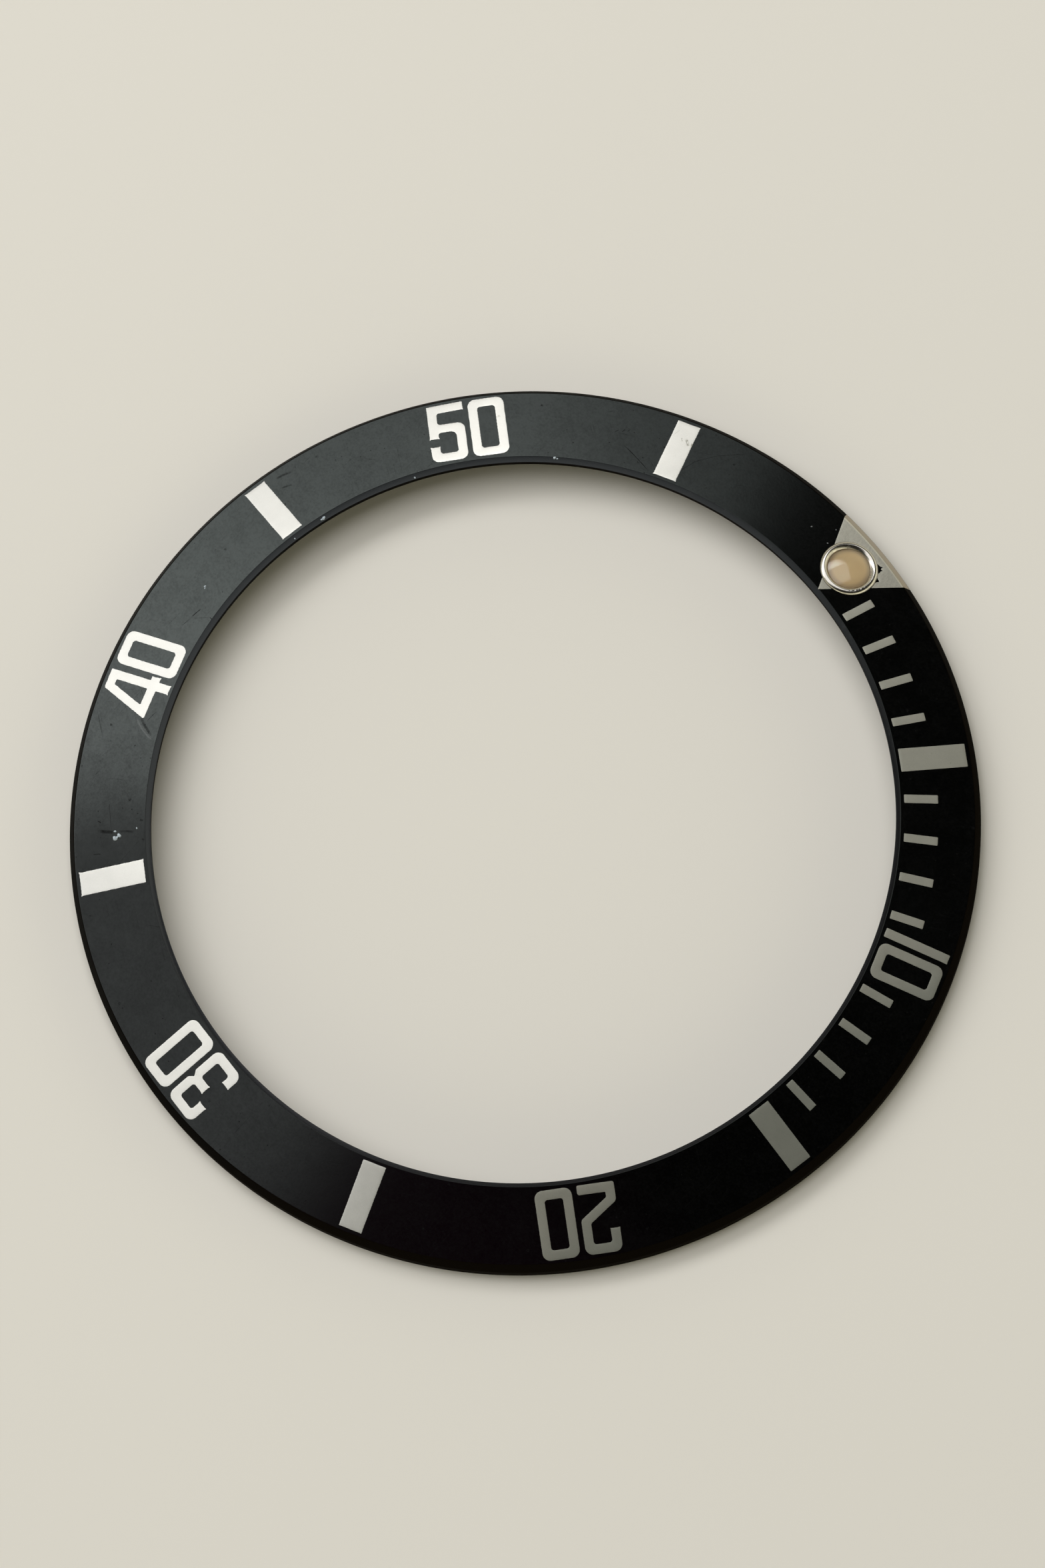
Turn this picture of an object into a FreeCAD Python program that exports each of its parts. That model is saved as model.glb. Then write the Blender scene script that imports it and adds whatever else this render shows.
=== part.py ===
import FreeCAD, Part
import math
import os
import re
import Sketcher

os.makedirs("parts", exist_ok=True)
doc = FreeCAD.newDocument("WatchBezelInsert")

# Driving dimensions in millimetres. Heights of the ring are measured from its foot, heights of the
# pearl from the dial surface that it stands on, and radii from the ring's axis.
ringSizes = {
    "outerRadius": 18.75,       # wall that the bezel grips
    "ringWidth": 3.47,          # from the outer wall to the lip of the opening
    "leadChamfer": 0.06,        # eases the wall into the bezel
    "rimHeight": 0.60,          # straight outer wall
    "shoulderWidth": 0.33,      # sloped band between wall and dial
    "shoulderRiseHeight": 0.47,
    "dialRiseHeight": 0.73,     # climb of the dial from the shoulder to the crest
    "rollWidth": 0.26,          # inner edge, where the face rolls over to the lip
    "rollDropHeight": 0.10,
    "rollBulgeHeight": 0.045,
    "lipLandHeight": 0.28,      # short straight wall under the lip
    "undercutWidth": 0.50,      # bevel behind the lip
    "footWidth": 0.70,          # flat ring that the insert stands on
    "footFlareWidth": 0.20,     # slope from the foot up to the underside
    "footHeight": 0.36,
    "overrunLength": 1.00,      # how far cutting shapes run past the metal
}
markSizes = {
    "markDepth": 0.04,          # depth of the bare metal marks in the dark face
    "markMargin": 0.07,         # dark rim of the dial inside and outside the bars and numerals
    "barWidth": 0.98,
    "tickMargin": 0.09,
    "tickLength": 1.38,
    "tickWidth": 0.35,
    "tipReachLength": 0.08,     # how far the triangle's tip runs onto the rolled edge
    "triangleHalfWidth": 1.97,  # half the width where the triangle meets the shoulder
    "digitWidth": 1.51,
    "strokeWidth": 0.38,
    "digitGap": 0.22,
    "cornerRadius": 0.32,
    "counterRadius": 0.08,
    "armLength": 0.54,          # middle arm of the three, out of its right stem
    "waistDepth": 0.17,         # notch in the side of the three
    "waistHalfHeight": 0.20,
    "fourHeadWidth": 0.86,
    "fourLeanWidth": 0.79,      # the four leans away from the next digit
    "fourArmLength": 0.20,
    "fourGap": 0.10,
}
heightShares = {                # places inside a digit, as shares of its height
    "threeHookShare": 0.696,    # lower end of the hook at the top
    "twoHookShare": 0.663,
    "footHookShare": 0.264,     # upper end of the hook at the foot
    "slashFootShare": 0.216,    # lower side of the slanted stroke of the two
    "slashHeadShare": 0.498,
    "slashRiseShare": 0.062,
    "armShare": 0.458,          # lower side of the three's middle arm
    "crossbarShare": 0.201,
    "bowlShare": 0.648,         # top of the five's bowl
    "stemEndShare": 0.410,
}
pearlSizes = {
    "pearlOffset": 0.10,        # the pearl's centre lies this far outside the middle of the dial
    "pearlMargin": 0.215,       # half the dial's width left dark beside the bead
    "seatDepth": 0.06,          # flat spot that the bead is seated in
    "seatClearance": 0.02,
    "beadOverhangWidth": 0.175, # bead past the barrel
    "beadWallHeight": 0.03,     # upright side of the bead above the dial
    "beadBulgeHeight": 0.09,
    "cupLipHeight": 0.10,       # height of the bead's inner edge
    "cupWallThickness": 0.08,
    "cupProudHeight": 0.12,     # barrel below the ring's underside
    "cupFloorThickness": 0.12,
    "fitClearance": 0.01,       # round each piece that sits in another
    "lensFootDepth": 0.14,      # depth of the ledge under the lens
    "lensLedgeWidth": 0.10,     # width of that ledge
    "lensRimHeight": 0.07,      # height of the lens at its edge
    "domeHeight": 0.15,
}
sizes = {**ringSizes, **markSizes, **heightShares, **pearlSizes}

sheet = doc.addObject("Spreadsheet::Sheet", "Sizes")
for row, (name, value) in enumerate(sizes.items(), start=1):
    sheet.set(f"A{row}", name)
    sheet.set(f"B{row}", str(value))
    sheet.setAlias(f"B{row}", name)
doc.recompute()

minutesPerTurn = 60
fullTurn = 360
barMinutes = range(5, minutesPerTurn, 10)
numeralMinutes = range(10, minutesPerTurn, 10)
tickMinutes = [minute for minute in range(1, 15) if minute % 5]


def cells(text):
    """The expression with each size's name pointing at its cell."""
    return re.sub(r"[A-Za-z]\w*", lambda word: "Sizes." + word[0] if word[0] in sizes else word[0], text)


def bind(item, **expressions):
    """Bind properties of an object to expressions written in the sizes."""
    for name, text in expressions.items():
        item.setExpression(name.replace("_", "."), cells(text))


def worth(text):
    """The present value of an expression, as a plain number."""
    return float(sheet.evalExpression(cells(text)))


def corner(across, up, rounding=None):
    """A corner of an outline: where it is, and the radius that rounds it."""
    return {"place": (across, up), "rounding": rounding}


def softened(loop):
    """Replace each rounded corner of an upright outline by its two tangent points."""
    points = []
    for index, here in enumerate(loop):
        across, up = here["place"]
        if here["rounding"] is None:
            points.append((across, up, None))
            continue
        before, after = loop[index - 1], loop[(index + 1) % len(loop)]
        for neighbour, radius in ((before, here["rounding"]), (after, None)):
            moved = []
            for spot, there in zip(here["place"], neighbour["place"]):
                sign = math.copysign(1, worth(there) - worth(spot))
                moved.append(spot if there == spot else f"{spot} + {sign} * {here['rounding']}")
            points.append((*moved, radius))
    return points


def addLoop(sketch, points):
    """Draw a closed loop in a sketch and tie every corner to the sizes.

    A point's third value, where it has one, is the radius of an arc that runs to the next point.
    The arc bulges to the side that the loop turns from."""
    spots = [FreeCAD.Vector(worth(across), worth(up), 0) for across, up, _ in points]
    ends = []
    for index, (_, _, radius) in enumerate(points):
        start, finish = spots[index], spots[(index + 1) % len(spots)]
        if radius is None:
            edge = sketch.addGeometry(Part.LineSegment(start, finish), False)
            ends.append((edge, 1, 2))
            continue
        before = start - spots[index - 1]
        chord = finish - start
        turnsLeft = before.cross(chord).z > 0
        size = worth(radius)
        reach = math.sqrt(size ** 2 - (chord.Length / 2) ** 2)
        side = FreeCAD.Vector(-chord.y, chord.x, 0).normalize() * (reach if turnsLeft else -reach)
        middle = (start + finish) / 2 + side
        first, last = (start, finish) if turnsLeft else (finish, start)
        angles = [math.atan2(spot.y - middle.y, spot.x - middle.x) for spot in (first, last)]
        circle = Part.Circle(middle, FreeCAD.Vector(0, 0, 1), size)
        edge = sketch.addGeometry(Part.ArcOfCircle(circle, *angles), False)
        ends.append((edge, 1, 2) if turnsLeft else (edge, 2, 1))
        held = sketch.addConstraint(Sketcher.Constraint("Radius", edge, size))
        sketch.setExpression(f"Constraints[{held}]", cells(radius))
    for index, (across, up, _) in enumerate(points):
        edge, start, _ = ends[index]
        earlier, _, finish = ends[index - 1]
        sketch.addConstraint(Sketcher.Constraint("Coincident", earlier, finish, edge, start))
        for kind, text, axis in (("DistanceX", across, -2), ("DistanceY", up, -1)):
            if text == "0":
                sketch.addConstraint(Sketcher.Constraint("PointOnObject", edge, start, axis))
                continue
            held = sketch.addConstraint(Sketcher.Constraint(kind, -1, 1, edge, start, worth(text)))
            sketch.setExpression(f"Constraints[{held}]", cells(text))


def outline(name, *loops):
    """A sketch on the ground plane, made of closed loops of corners."""
    sketch = doc.addObject("Sketcher::SketchObject", name)
    for loop in loops:
        addLoop(sketch, softened(loop))
    return sketch


def upright(sketch):
    """Turn a sketch so that its second axis points up."""
    sketch.Placement = FreeCAD.Placement(FreeCAD.Vector(), FreeCAD.Rotation(FreeCAD.Vector(1, 0, 0), 90))


def curvature(bulge, across, up):
    """Radius of an arc that rises by its bulge over a chord with these two extents."""
    return f"(((({across}) ^ 2 + ({up}) ^ 2) / 4 + {bulge} ^ 2) / (2 * {bulge}))"


# The ring's own section, from the foot round the outer wall and the dial to the underside
lipRadius = "(outerRadius - ringWidth)"
crestRadius = f"({lipRadius} + rollWidth)"
shoulderRadius = "(outerRadius - shoulderWidth)"
shoulderHeight = "(rimHeight + shoulderRiseHeight)"
crestHeight = f"({shoulderHeight} + dialRiseHeight)"
lipHeight = f"({crestHeight} - rollDropHeight)"
dialWidth = f"({shoulderRadius} - {crestRadius})"
dialSlope = f"(dialRiseHeight / {dialWidth})"
footRadius = "(outerRadius - footWidth)"
flareRadius = f"({footRadius} - footFlareWidth)"
undercutRadius = f"({lipRadius} + undercutWidth)"


def dialHeight(radius):
    """Height of the dial surface at a radius."""
    return f"({shoulderHeight} + ({shoulderRadius} - {radius}) * {dialSlope})"


def undersideHeight(radius):
    """Height of the underside, which runs parallel to the dial."""
    return f"(footHeight + ({flareRadius} - {radius}) * {dialSlope})"


ringSection = doc.addObject("Sketcher::SketchObject", "RingSection")
addLoop(ringSection, [
    (footRadius, "0", None),
    ("outerRadius - leadChamfer", "0", None),
    ("outerRadius", "leadChamfer", None),
    ("outerRadius", "rimHeight", None),
    (shoulderRadius, shoulderHeight, None),
    (crestRadius, crestHeight, curvature("rollBulgeHeight", "rollWidth", "rollDropHeight")),
    (lipRadius, lipHeight, None),
    (lipRadius, f"{lipHeight} - lipLandHeight", None),
    (undercutRadius, undersideHeight(undercutRadius), None),
    (flareRadius, "footHeight", None),
])
upright(ringSection)


def revolved(name, sketch):
    turn = doc.addObject("Part::Revolution", name)
    turn.Source = sketch
    turn.Axis = FreeCAD.Vector(0, 0, 1)
    turn.Angle = fullTurn
    turn.Solid = True
    return turn


# The plain ring, and the thin top layer of it that the marks are made of
plainRing = revolved("PlainRing", ringSection)
loweredRing = revolved("LoweredRing", ringSection)
bind(loweredRing, Placement_Base_z="-markDepth")
dialSkin = doc.addObject("Part::Cut", "DialSkin")
dialSkin.Base = plainRing
dialSkin.Tool = loweredRing


def setOnDial(item, minute, across, outward):
    """Turn an item to its minute and shift it across and outward from the ring's axis."""
    angle = f"({fullTurn} * {minute} / {minutesPerTurn})"
    item.Placement = FreeCAD.Placement(FreeCAD.Vector(), FreeCAD.Rotation(FreeCAD.Vector(0, 0, -1), 1))
    bind(item, Placement_Base_x=f"({across}) * cos{angle} + ({outward}) * sin{angle}",
         Placement_Base_y=f"({outward}) * cos{angle} - ({across}) * sin{angle}",
         Placement_Rotation_Angle=angle)


def inSkin(name, shape):
    """The part of a shape that lies in the dial's top layer."""
    mark = doc.addObject("Part::Common", name)
    mark.Base = shape
    mark.Tool = dialSkin
    return mark


def raised(name, sketch):
    """An outline carried straight up through the ring."""
    solid = doc.addObject("Part::Extrusion", name)
    solid.Base = sketch
    solid.DirMode = "Normal"
    solid.Solid = True
    bind(solid, LengthFwd=f"{crestHeight} + overrunLength")
    return solid


def straightMark(name, minute, width, margin, length):
    """A bar or a tick: a straight-sided strip on its minute."""
    strip = doc.addObject("Part::Box", name + "_strip")
    bind(strip, Length=width, Width=length, Height=f"{crestHeight} + overrunLength")
    setOnDial(strip, minute, f"-{width} / 2", f"({crestRadius} + {margin})")
    return inSkin(name, strip)


marks = {}
markedWidth = f"({dialWidth} - 2 * markMargin)"
for minute in barMinutes:
    label = f"five_minute_bar_{minute:02d}"
    marks[label] = straightMark(label, minute, "barWidth", "markMargin", markedWidth)
for minute in tickMinutes:
    label = f"minute_tick_{minute:02d}"
    marks[label] = straightMark(label, minute, "tickWidth", "tickMargin", "tickLength")

# Outlines of the digits, each from its own lower left corner
digitHeight = markedWidth
rightStem = "digitWidth - strokeWidth"
topBar = f"{digitHeight} - strokeWidth"


def atShare(share):
    """A height inside a digit."""
    return f"{digitHeight} * {share}"


slashRise = atShare("slashRiseShare")
armHigh = f"{atShare('armShare')} + strokeWidth"
waist = f"{atShare('armShare')} + strokeWidth / 2"
bowlBar = f"{atShare('bowlShare')} - strokeWidth"
digits = {
    "0": outline(
        "DigitZero",
        [corner("0", "0", "cornerRadius"), corner("digitWidth", "0", "cornerRadius"),
         corner("digitWidth", digitHeight, "cornerRadius"), corner("0", digitHeight, "cornerRadius")],
        [corner("strokeWidth", "strokeWidth", "counterRadius"),
         corner(rightStem, "strokeWidth", "counterRadius"),
         corner(rightStem, topBar, "counterRadius"),
         corner("strokeWidth", topBar, "counterRadius")]),
    "1": outline(
        "DigitOne",
        [corner("0", "0"), corner("strokeWidth", "0"),
         corner("strokeWidth", digitHeight), corner("0", digitHeight)]),
    "2": outline(
        "DigitTwo",
        [corner("0", "0"), corner("digitWidth", "0"), corner("digitWidth", "strokeWidth"),
         corner("strokeWidth", "strokeWidth"), corner("strokeWidth", atShare("slashFootShare")),
         corner("digitWidth", atShare("slashHeadShare")),
         corner("digitWidth", digitHeight, "cornerRadius"), corner("0", digitHeight, "cornerRadius"),
         corner("0", atShare("twoHookShare")), corner("strokeWidth", atShare("twoHookShare")),
         corner("strokeWidth", topBar, "counterRadius"), corner(rightStem, topBar, "counterRadius"),
         corner(rightStem, f"{atShare('slashHeadShare')} + {slashRise}"),
         corner("0", f"{atShare('slashFootShare')} + {slashRise}")]),
    "3": outline(
        "DigitThree",
        [corner("0", "0", "cornerRadius"), corner("digitWidth", "0", "cornerRadius"),
         corner("digitWidth", f"{waist} - waistHalfHeight"), corner("digitWidth - waistDepth", waist),
         corner("digitWidth", f"{waist} + waistHalfHeight"),
         corner("digitWidth", digitHeight, "cornerRadius"), corner("0", digitHeight, "cornerRadius"),
         corner("0", atShare("threeHookShare")), corner("strokeWidth", atShare("threeHookShare")),
         corner("strokeWidth", topBar, "counterRadius"), corner(rightStem, topBar, "counterRadius"),
         corner(rightStem, armHigh, "counterRadius"), corner(f"{rightStem} - armLength", armHigh),
         corner(f"{rightStem} - armLength", atShare("armShare")),
         corner(rightStem, atShare("armShare"), "counterRadius"),
         corner(rightStem, "strokeWidth", "counterRadius"),
         corner("strokeWidth", "strokeWidth", "counterRadius"),
         corner("strokeWidth", atShare("footHookShare")), corner("0", atShare("footHookShare"))]),
    "5": outline(
        "DigitFive",
        [corner("0", "0", "cornerRadius"), corner("digitWidth", "0", "cornerRadius"),
         corner("digitWidth", atShare("bowlShare"), "cornerRadius"),
         corner("strokeWidth", atShare("bowlShare"), "counterRadius"),
         corner("strokeWidth", topBar, "counterRadius"), corner("digitWidth", topBar),
         corner("digitWidth", digitHeight), corner("0", digitHeight),
         corner("0", atShare("stemEndShare")), corner("strokeWidth", atShare("stemEndShare")),
         corner("strokeWidth", bowlBar, "counterRadius"), corner(rightStem, bowlBar, "cornerRadius"),
         corner(rightStem, "strokeWidth", "counterRadius"),
         corner("strokeWidth", "strokeWidth", "counterRadius"),
         corner("strokeWidth", atShare("footHookShare")), corner("0", atShare("footHookShare"))]),
}

# The four leans: its outer side runs from the crossbar's end up to the flat head
fourStem = "(fourLeanWidth + fourHeadWidth - strokeWidth)"
fourEdge = "(fourLeanWidth + fourHeadWidth)"
fourWidth = f"({fourEdge} + fourArmLength)"
crossbar = atShare("crossbarShare")
counterFoot = f"({crossbar} + strokeWidth)"
leanPerHeight = f"(fourLeanWidth / ({digitHeight} - {crossbar}))"
digits["4"] = outline(
    "DigitFour",
    [corner("0", crossbar), corner(fourStem, crossbar), corner(fourStem, "0"), corner(fourEdge, "0"),
     corner(fourEdge, crossbar), corner(fourWidth, crossbar), corner(fourWidth, counterFoot),
     corner(fourEdge, counterFoot), corner(fourEdge, digitHeight), corner("fourLeanWidth", digitHeight)],
    [corner(f"strokeWidth * (1 + {leanPerHeight})", counterFoot), corner(fourStem, counterFoot),
     corner(fourStem, topBar), corner(f"strokeWidth + {leanPerHeight} * ({topBar} - {crossbar})", topBar)])

# What each leading digit takes up: its share of the centring, its own width and the gap after it
leadingDigits = {
    "1": ("strokeWidth", "strokeWidth", "digitGap"),
    "4": ("digitWidth", fourWidth, "fourGap"),
}


def numeral(minute):
    """Both digits of a number, side by side and centred on its minute, with their tops outward."""
    tens, ones = str(minute)
    label = f"numeral_{minute}"
    cell, width, gap = leadingDigits.get(tens, ("digitWidth", "digitWidth", "digitGap"))
    onesStart = f"(({cell} + digitGap - digitWidth) / 2)"
    places = {tens: f"({onesStart} - {gap} - {width})", ones: onesStart}
    solids = []
    for digit, across in places.items():
        solid = raised(f"{label}_digit_{digit}", digits[digit])
        setOnDial(solid, minute, across, f"({crestRadius} + markMargin)")
        solids.append(solid)
    pair = doc.addObject("Part::MultiFuse", label + "_pair")
    pair.Shapes = solids
    return inSkin(label, pair)


for minute in numeralMinutes:
    marks[f"numeral_{minute}"] = numeral(minute)

# The pearl stands square to the sloping dial, so its pieces share one tilted axis
dialTilt = f"atan({dialSlope})"
pearlRadius = f"(({shoulderRadius} + {crestRadius}) / 2 + pearlOffset)"
beadRadius = f"({dialWidth} / 2 - pearlMargin)"
barrelRadius = f"({beadRadius} - beadOverhangWidth)"
lensBore = f"({barrelRadius} - cupWallThickness)"
lensRadius = f"({lensBore} - fitClearance)"
lumeBore = f"({lensBore} - lensLedgeWidth)"
plateHeight = f"({dialHeight(pearlRadius)} - {undersideHeight(pearlRadius)})"
cupDepth = f"({plateHeight} * cos({dialTilt}) + cupProudHeight)"


def setOnPearlAxis(item, lift="0"):
    """Tilt an item onto the pearl's axis, lifted along it from the dial surface."""
    item.Placement = FreeCAD.Placement(FreeCAD.Vector(), FreeCAD.Rotation(FreeCAD.Vector(-1, 0, 0), 1))
    bind(item, Placement_Base_y=f"{pearlRadius} + {lift} * sin({dialTilt})",
         Placement_Base_z=f"{dialHeight(pearlRadius)} + {lift} * cos({dialTilt})",
         Placement_Rotation_Angle=dialTilt)


def disc(name, radius, bottom, top):
    """An upright cylinder on the pearl's own axis."""
    shape = doc.addObject("Part::Cylinder", name)
    bind(shape, Radius=radius, Height=f"{top} - ({bottom})", Placement_Base_z=bottom)
    return shape


throughEnd = f"-{cupDepth} - overrunLength"
pearlHole = doc.addObject("Part::Fuse", "PearlHole")
pearlHole.Base = disc("BarrelHole", f"{barrelRadius} + fitClearance", throughEnd, "overrunLength")
pearlHole.Tool = disc("BeadSeat", f"{beadRadius} + seatClearance", "-seatDepth", "overrunLength")
setOnPearlAxis(pearlHole)

# The triangle at zero widens outward over the shoulder and makes room for the pearl
triangleTip = f"({crestRadius} - tipReachLength)"
triangleEnd = "(outerRadius + overrunLength)"
endHalf = f"(triangleHalfWidth * ({triangleEnd} - {triangleTip}) / ({shoulderRadius} - {triangleTip}))"
triangleSolid = raised("ZeroTriangleSolid", outline(
    "ZeroTriangle",
    [corner("0", triangleTip), corner(endHalf, triangleEnd), corner(f"-{endHalf}", triangleEnd)]))
zeroTriangle = doc.addObject("Part::Cut", "zero_triangle")
zeroTriangle.Base = inSkin("WholeTriangle", triangleSolid)
zeroTriangle.Tool = pearlHole
marks["zero_triangle"] = zeroTriangle

# The ring itself: pockets for every mark, and the pearl's stepped hole
ringCuts = doc.addObject("Part::Compound", "RingCuts")
ringCuts.Links = [*marks.values(), pearlHole]
insertRing = doc.addObject("Part::Cut", "insert_ring")
insertRing.Base = plainRing
insertRing.Tool = ringCuts

# The cup: a barrel with a floor, a ledge for the lens and a rolled bead that rests on the dial
pearlCup = doc.addObject("PartDesign::Body", "pearl_cup")
cupSection = pearlCup.newObject("Sketcher::SketchObject", "CupSection")
uprightPlane = next(item for item in pearlCup.Origin.OriginFeatures if item.Role == "XZ_Plane")
cupSection.AttachmentSupport = [(uprightPlane, "")]
cupSection.MapMode = "FlatFace"
beadCurve = curvature("beadBulgeHeight", f"{beadRadius} - {lensBore}", "cupLipHeight - beadWallHeight")
addLoop(cupSection, [
    ("0", f"-{cupDepth}", None),
    (barrelRadius, f"-{cupDepth}", None),
    (barrelRadius, "-seatDepth", None),
    (beadRadius, "-seatDepth", None),
    (beadRadius, "beadWallHeight", beadCurve),
    (lensBore, "cupLipHeight", None),
    (lensBore, "-lensFootDepth", None),
    (lumeBore, "-lensFootDepth", None),
    (lumeBore, f"cupFloorThickness - {cupDepth}", None),
    ("0", f"cupFloorThickness - {cupDepth}", None),
])
doc.recompute()
cupTurn = pearlCup.newObject("PartDesign::Revolution", "CupTurn")
cupTurn.Profile = cupSection
cupTurn.ReferenceAxis = (cupSection, ["V_Axis"])
cupTurn.Angle = fullTurn
pearlCup.Tip = cupTurn
setOnPearlAxis(pearlCup)

# The luminous disc fills the cup from its floor up to the ledge
pearlLume = doc.addObject("Part::Cylinder", "pearl_lume")
bind(pearlLume, Radius=f"{lumeBore} - fitClearance",
     Height=f"{cupDepth} - cupFloorThickness - lensFootDepth")
setOnPearlAxis(pearlLume, f"(cupFloorThickness - {cupDepth})")

# The lens is a short rod with a shallow dome
domeCurve = f"(({lensRadius} ^ 2 + domeHeight ^ 2) / (2 * domeHeight))"
lensBall = doc.addObject("Part::Sphere", "LensBall")
lensTop = "lensRimHeight + domeHeight"
bind(lensBall, Radius=domeCurve, Placement_Base_z=f"{lensTop} - {domeCurve}")
pearlLens = doc.addObject("Part::Common", "pearl_lens")
pearlLens.Base = disc("LensRod", lensRadius, "-lensFootDepth", f"({lensTop} + overrunLength)")
pearlLens.Tool = lensBall
setOnPearlAxis(pearlLens)

pieces = {"insert_ring": insertRing, **marks, "pearl_cup": pearlCup, "pearl_lume": pearlLume,
          "pearl_lens": pearlLens}
for label, piece in pieces.items():
    piece.Label = label
doc.recompute()

for item in doc.Objects:
    if "Invalid" in item.State or "Error" in item.State:
        raise RuntimeError(f"{item.Label} failed: {item.State}")
for label, piece in pieces.items():
    if piece.Shape.isNull() or not piece.Shape.isValid() or not piece.Shape.Solids:
        raise RuntimeError(f"{label} has no valid solid")
    print(f"{label}: {len(piece.Shape.Solids)} solid, {piece.Shape.Volume:.4f} mm3")

metalRemoved = plainRing.Shape.Volume - insertRing.Shape.Volume
marksVolume = sum(mark.Shape.Volume for mark in marks.values())
print(f"ring lost {metalRemoved:.4f} mm3, of which the marks fill {marksVolume:.4f} mm3")
if metalRemoved <= marksVolume:
    raise RuntimeError("the ring's pockets or its pearl hole weren't cut")

for label, piece in pieces.items():
    piece.Shape.exportStep(f"parts/{label}.step")
print(f"{len(pieces)} pieces written")
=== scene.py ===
import functools
import math

import bmesh
import bpy
import numpy as np
from mathutils import Matrix, Vector
from mathutils.geometry import delaunay_2d_cdt


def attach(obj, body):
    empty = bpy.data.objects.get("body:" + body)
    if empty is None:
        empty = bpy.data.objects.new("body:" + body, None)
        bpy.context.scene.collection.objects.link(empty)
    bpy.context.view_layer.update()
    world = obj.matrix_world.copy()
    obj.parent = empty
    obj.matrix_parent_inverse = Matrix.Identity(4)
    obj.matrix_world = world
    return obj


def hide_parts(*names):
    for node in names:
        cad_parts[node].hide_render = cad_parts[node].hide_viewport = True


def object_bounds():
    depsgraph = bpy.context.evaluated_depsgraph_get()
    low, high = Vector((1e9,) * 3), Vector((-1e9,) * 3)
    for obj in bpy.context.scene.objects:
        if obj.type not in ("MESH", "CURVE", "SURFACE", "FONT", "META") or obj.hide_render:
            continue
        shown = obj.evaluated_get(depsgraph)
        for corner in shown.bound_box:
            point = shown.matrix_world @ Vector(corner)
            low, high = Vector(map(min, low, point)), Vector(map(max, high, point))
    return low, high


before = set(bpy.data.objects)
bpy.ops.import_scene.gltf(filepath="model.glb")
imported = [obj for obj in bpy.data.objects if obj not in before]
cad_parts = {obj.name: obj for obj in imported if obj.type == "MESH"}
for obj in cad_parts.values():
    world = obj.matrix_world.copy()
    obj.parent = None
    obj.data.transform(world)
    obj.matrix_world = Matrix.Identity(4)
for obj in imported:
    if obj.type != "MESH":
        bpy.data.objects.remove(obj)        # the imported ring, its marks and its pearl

mm = 0.001                       # sizes below are in millimetres, meshes in metres
body = "root"
minutesPerTurn = 60
cadLow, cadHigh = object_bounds()


# Link a wire to a socket, or set a plain value there
def feed(socket, value):
    if isinstance(value, Wire):
        value.tree.links.new(value.socket, socket)
    else:
        socket.default_value = value


# An operator of wires, or of a wire and a number, that adds a Math node
def mathNode(operation, reflected=False):
    def apply(self, other):
        return self.node("Math", {"operation": operation}, {int(reflected): self, int(not reflected): other})
    return apply


# One socket of a node tree
class Wire:
    def __init__(self, tree, socket=None):
        self.tree = tree
        self.socket = socket

    def node(self, kind, settings=None, inputs=None, output=0):
        made = self.tree.nodes.new("ShaderNode" + kind)
        for name, value in (settings or {}).items():
            setattr(made, name, value)
        for key, value in (inputs or {}).items():
            feed(made.inputs[key], value)
        return Wire(self.tree, made.outputs[output])

    def vector(self, operation, other):
        return self.node("VectorMath", {"operation": operation}, {0: self, 1: other})

    __add__ = __radd__ = mathNode("ADD")
    __mul__ = __rmul__ = mathNode("MULTIPLY")
    __sub__, __rsub__ = mathNode("SUBTRACT"), mathNode("SUBTRACT", reflected=True)
    atLeast = mathNode("MAXIMUM")

    def __abs__(self):
        return self.node("Math", {"operation": "ABSOLUTE"}, {0: self})

    # 0 below low, 1 above high, eased between them; low above high turns it round
    def eased(self, low, high):
        flipped = low > high
        ends = {"From Min": min(low, high), "From Max": max(low, high),
                "To Min": float(flipped), "To Max": float(not flipped)}
        return self.node("MapRange", {"interpolation_type": "SMOOTHSTEP"}, {"Value": self, **ends})

    # one coordinate of a vector
    def axis(self, letter):
        return self.node("SeparateXYZ", {}, {0: self}, output=letter)

    # how far a place is from the ring's axis
    def fromAxis(self):
        flat = self.vector("MULTIPLY", (1, 1, 0))
        return flat.node("VectorMath", {"operation": "LENGTH"}, {0: flat}, output="Value")

    # a colour between two, by a factor
    def blend(self, first, second):
        return self.node("Mix", {"data_type": "RGBA"}, {0: self, 6: first, 7: second}, output=2)


def strongest(masks):
    return functools.reduce(Wire.atLeast, masks)


def tone(red, green, blue):
    return (red, green, blue, 1.0)


# A fresh material and its Object coordinates in millimetres
def startMaterial(name):
    material = bpy.data.materials.new(name)
    material.use_nodes = True
    spot = Wire(material.node_tree).node("TexCoord", output="Object").vector("MULTIPLY", [1 / mm] * 3)
    return material, spot


def paint(material, **sockets):
    for name, value in sockets.items():
        feed(material.node_tree.nodes["Principled BSDF"].inputs[name.replace("_", " ")], value)
    return material


# Lay a second, plain shader over a material's surface by a factor
def overlay(material, factor, **sockets):
    surface = material.node_tree.nodes["Material Output"].inputs["Surface"]
    under = Wire(material.node_tree, surface.links[0].from_socket)
    plain = {name.replace("_", " "): value for name, value in sockets.items()}
    layer = under.node("BsdfPrincipled", {}, plain)
    feed(surface, under.node("MixShader", {}, {0: factor, 1: under, 2: layer}))
    return material


# Noise in a spot's own millimetres: size is the width of its patches
def noise(spot, size, detail=3.0, rough=0.5):
    settings = {"Vector": spot, "Scale": 1 / size, "Detail": detail, "Roughness": rough}
    return spot.node("TexNoise", {}, settings)


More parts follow.
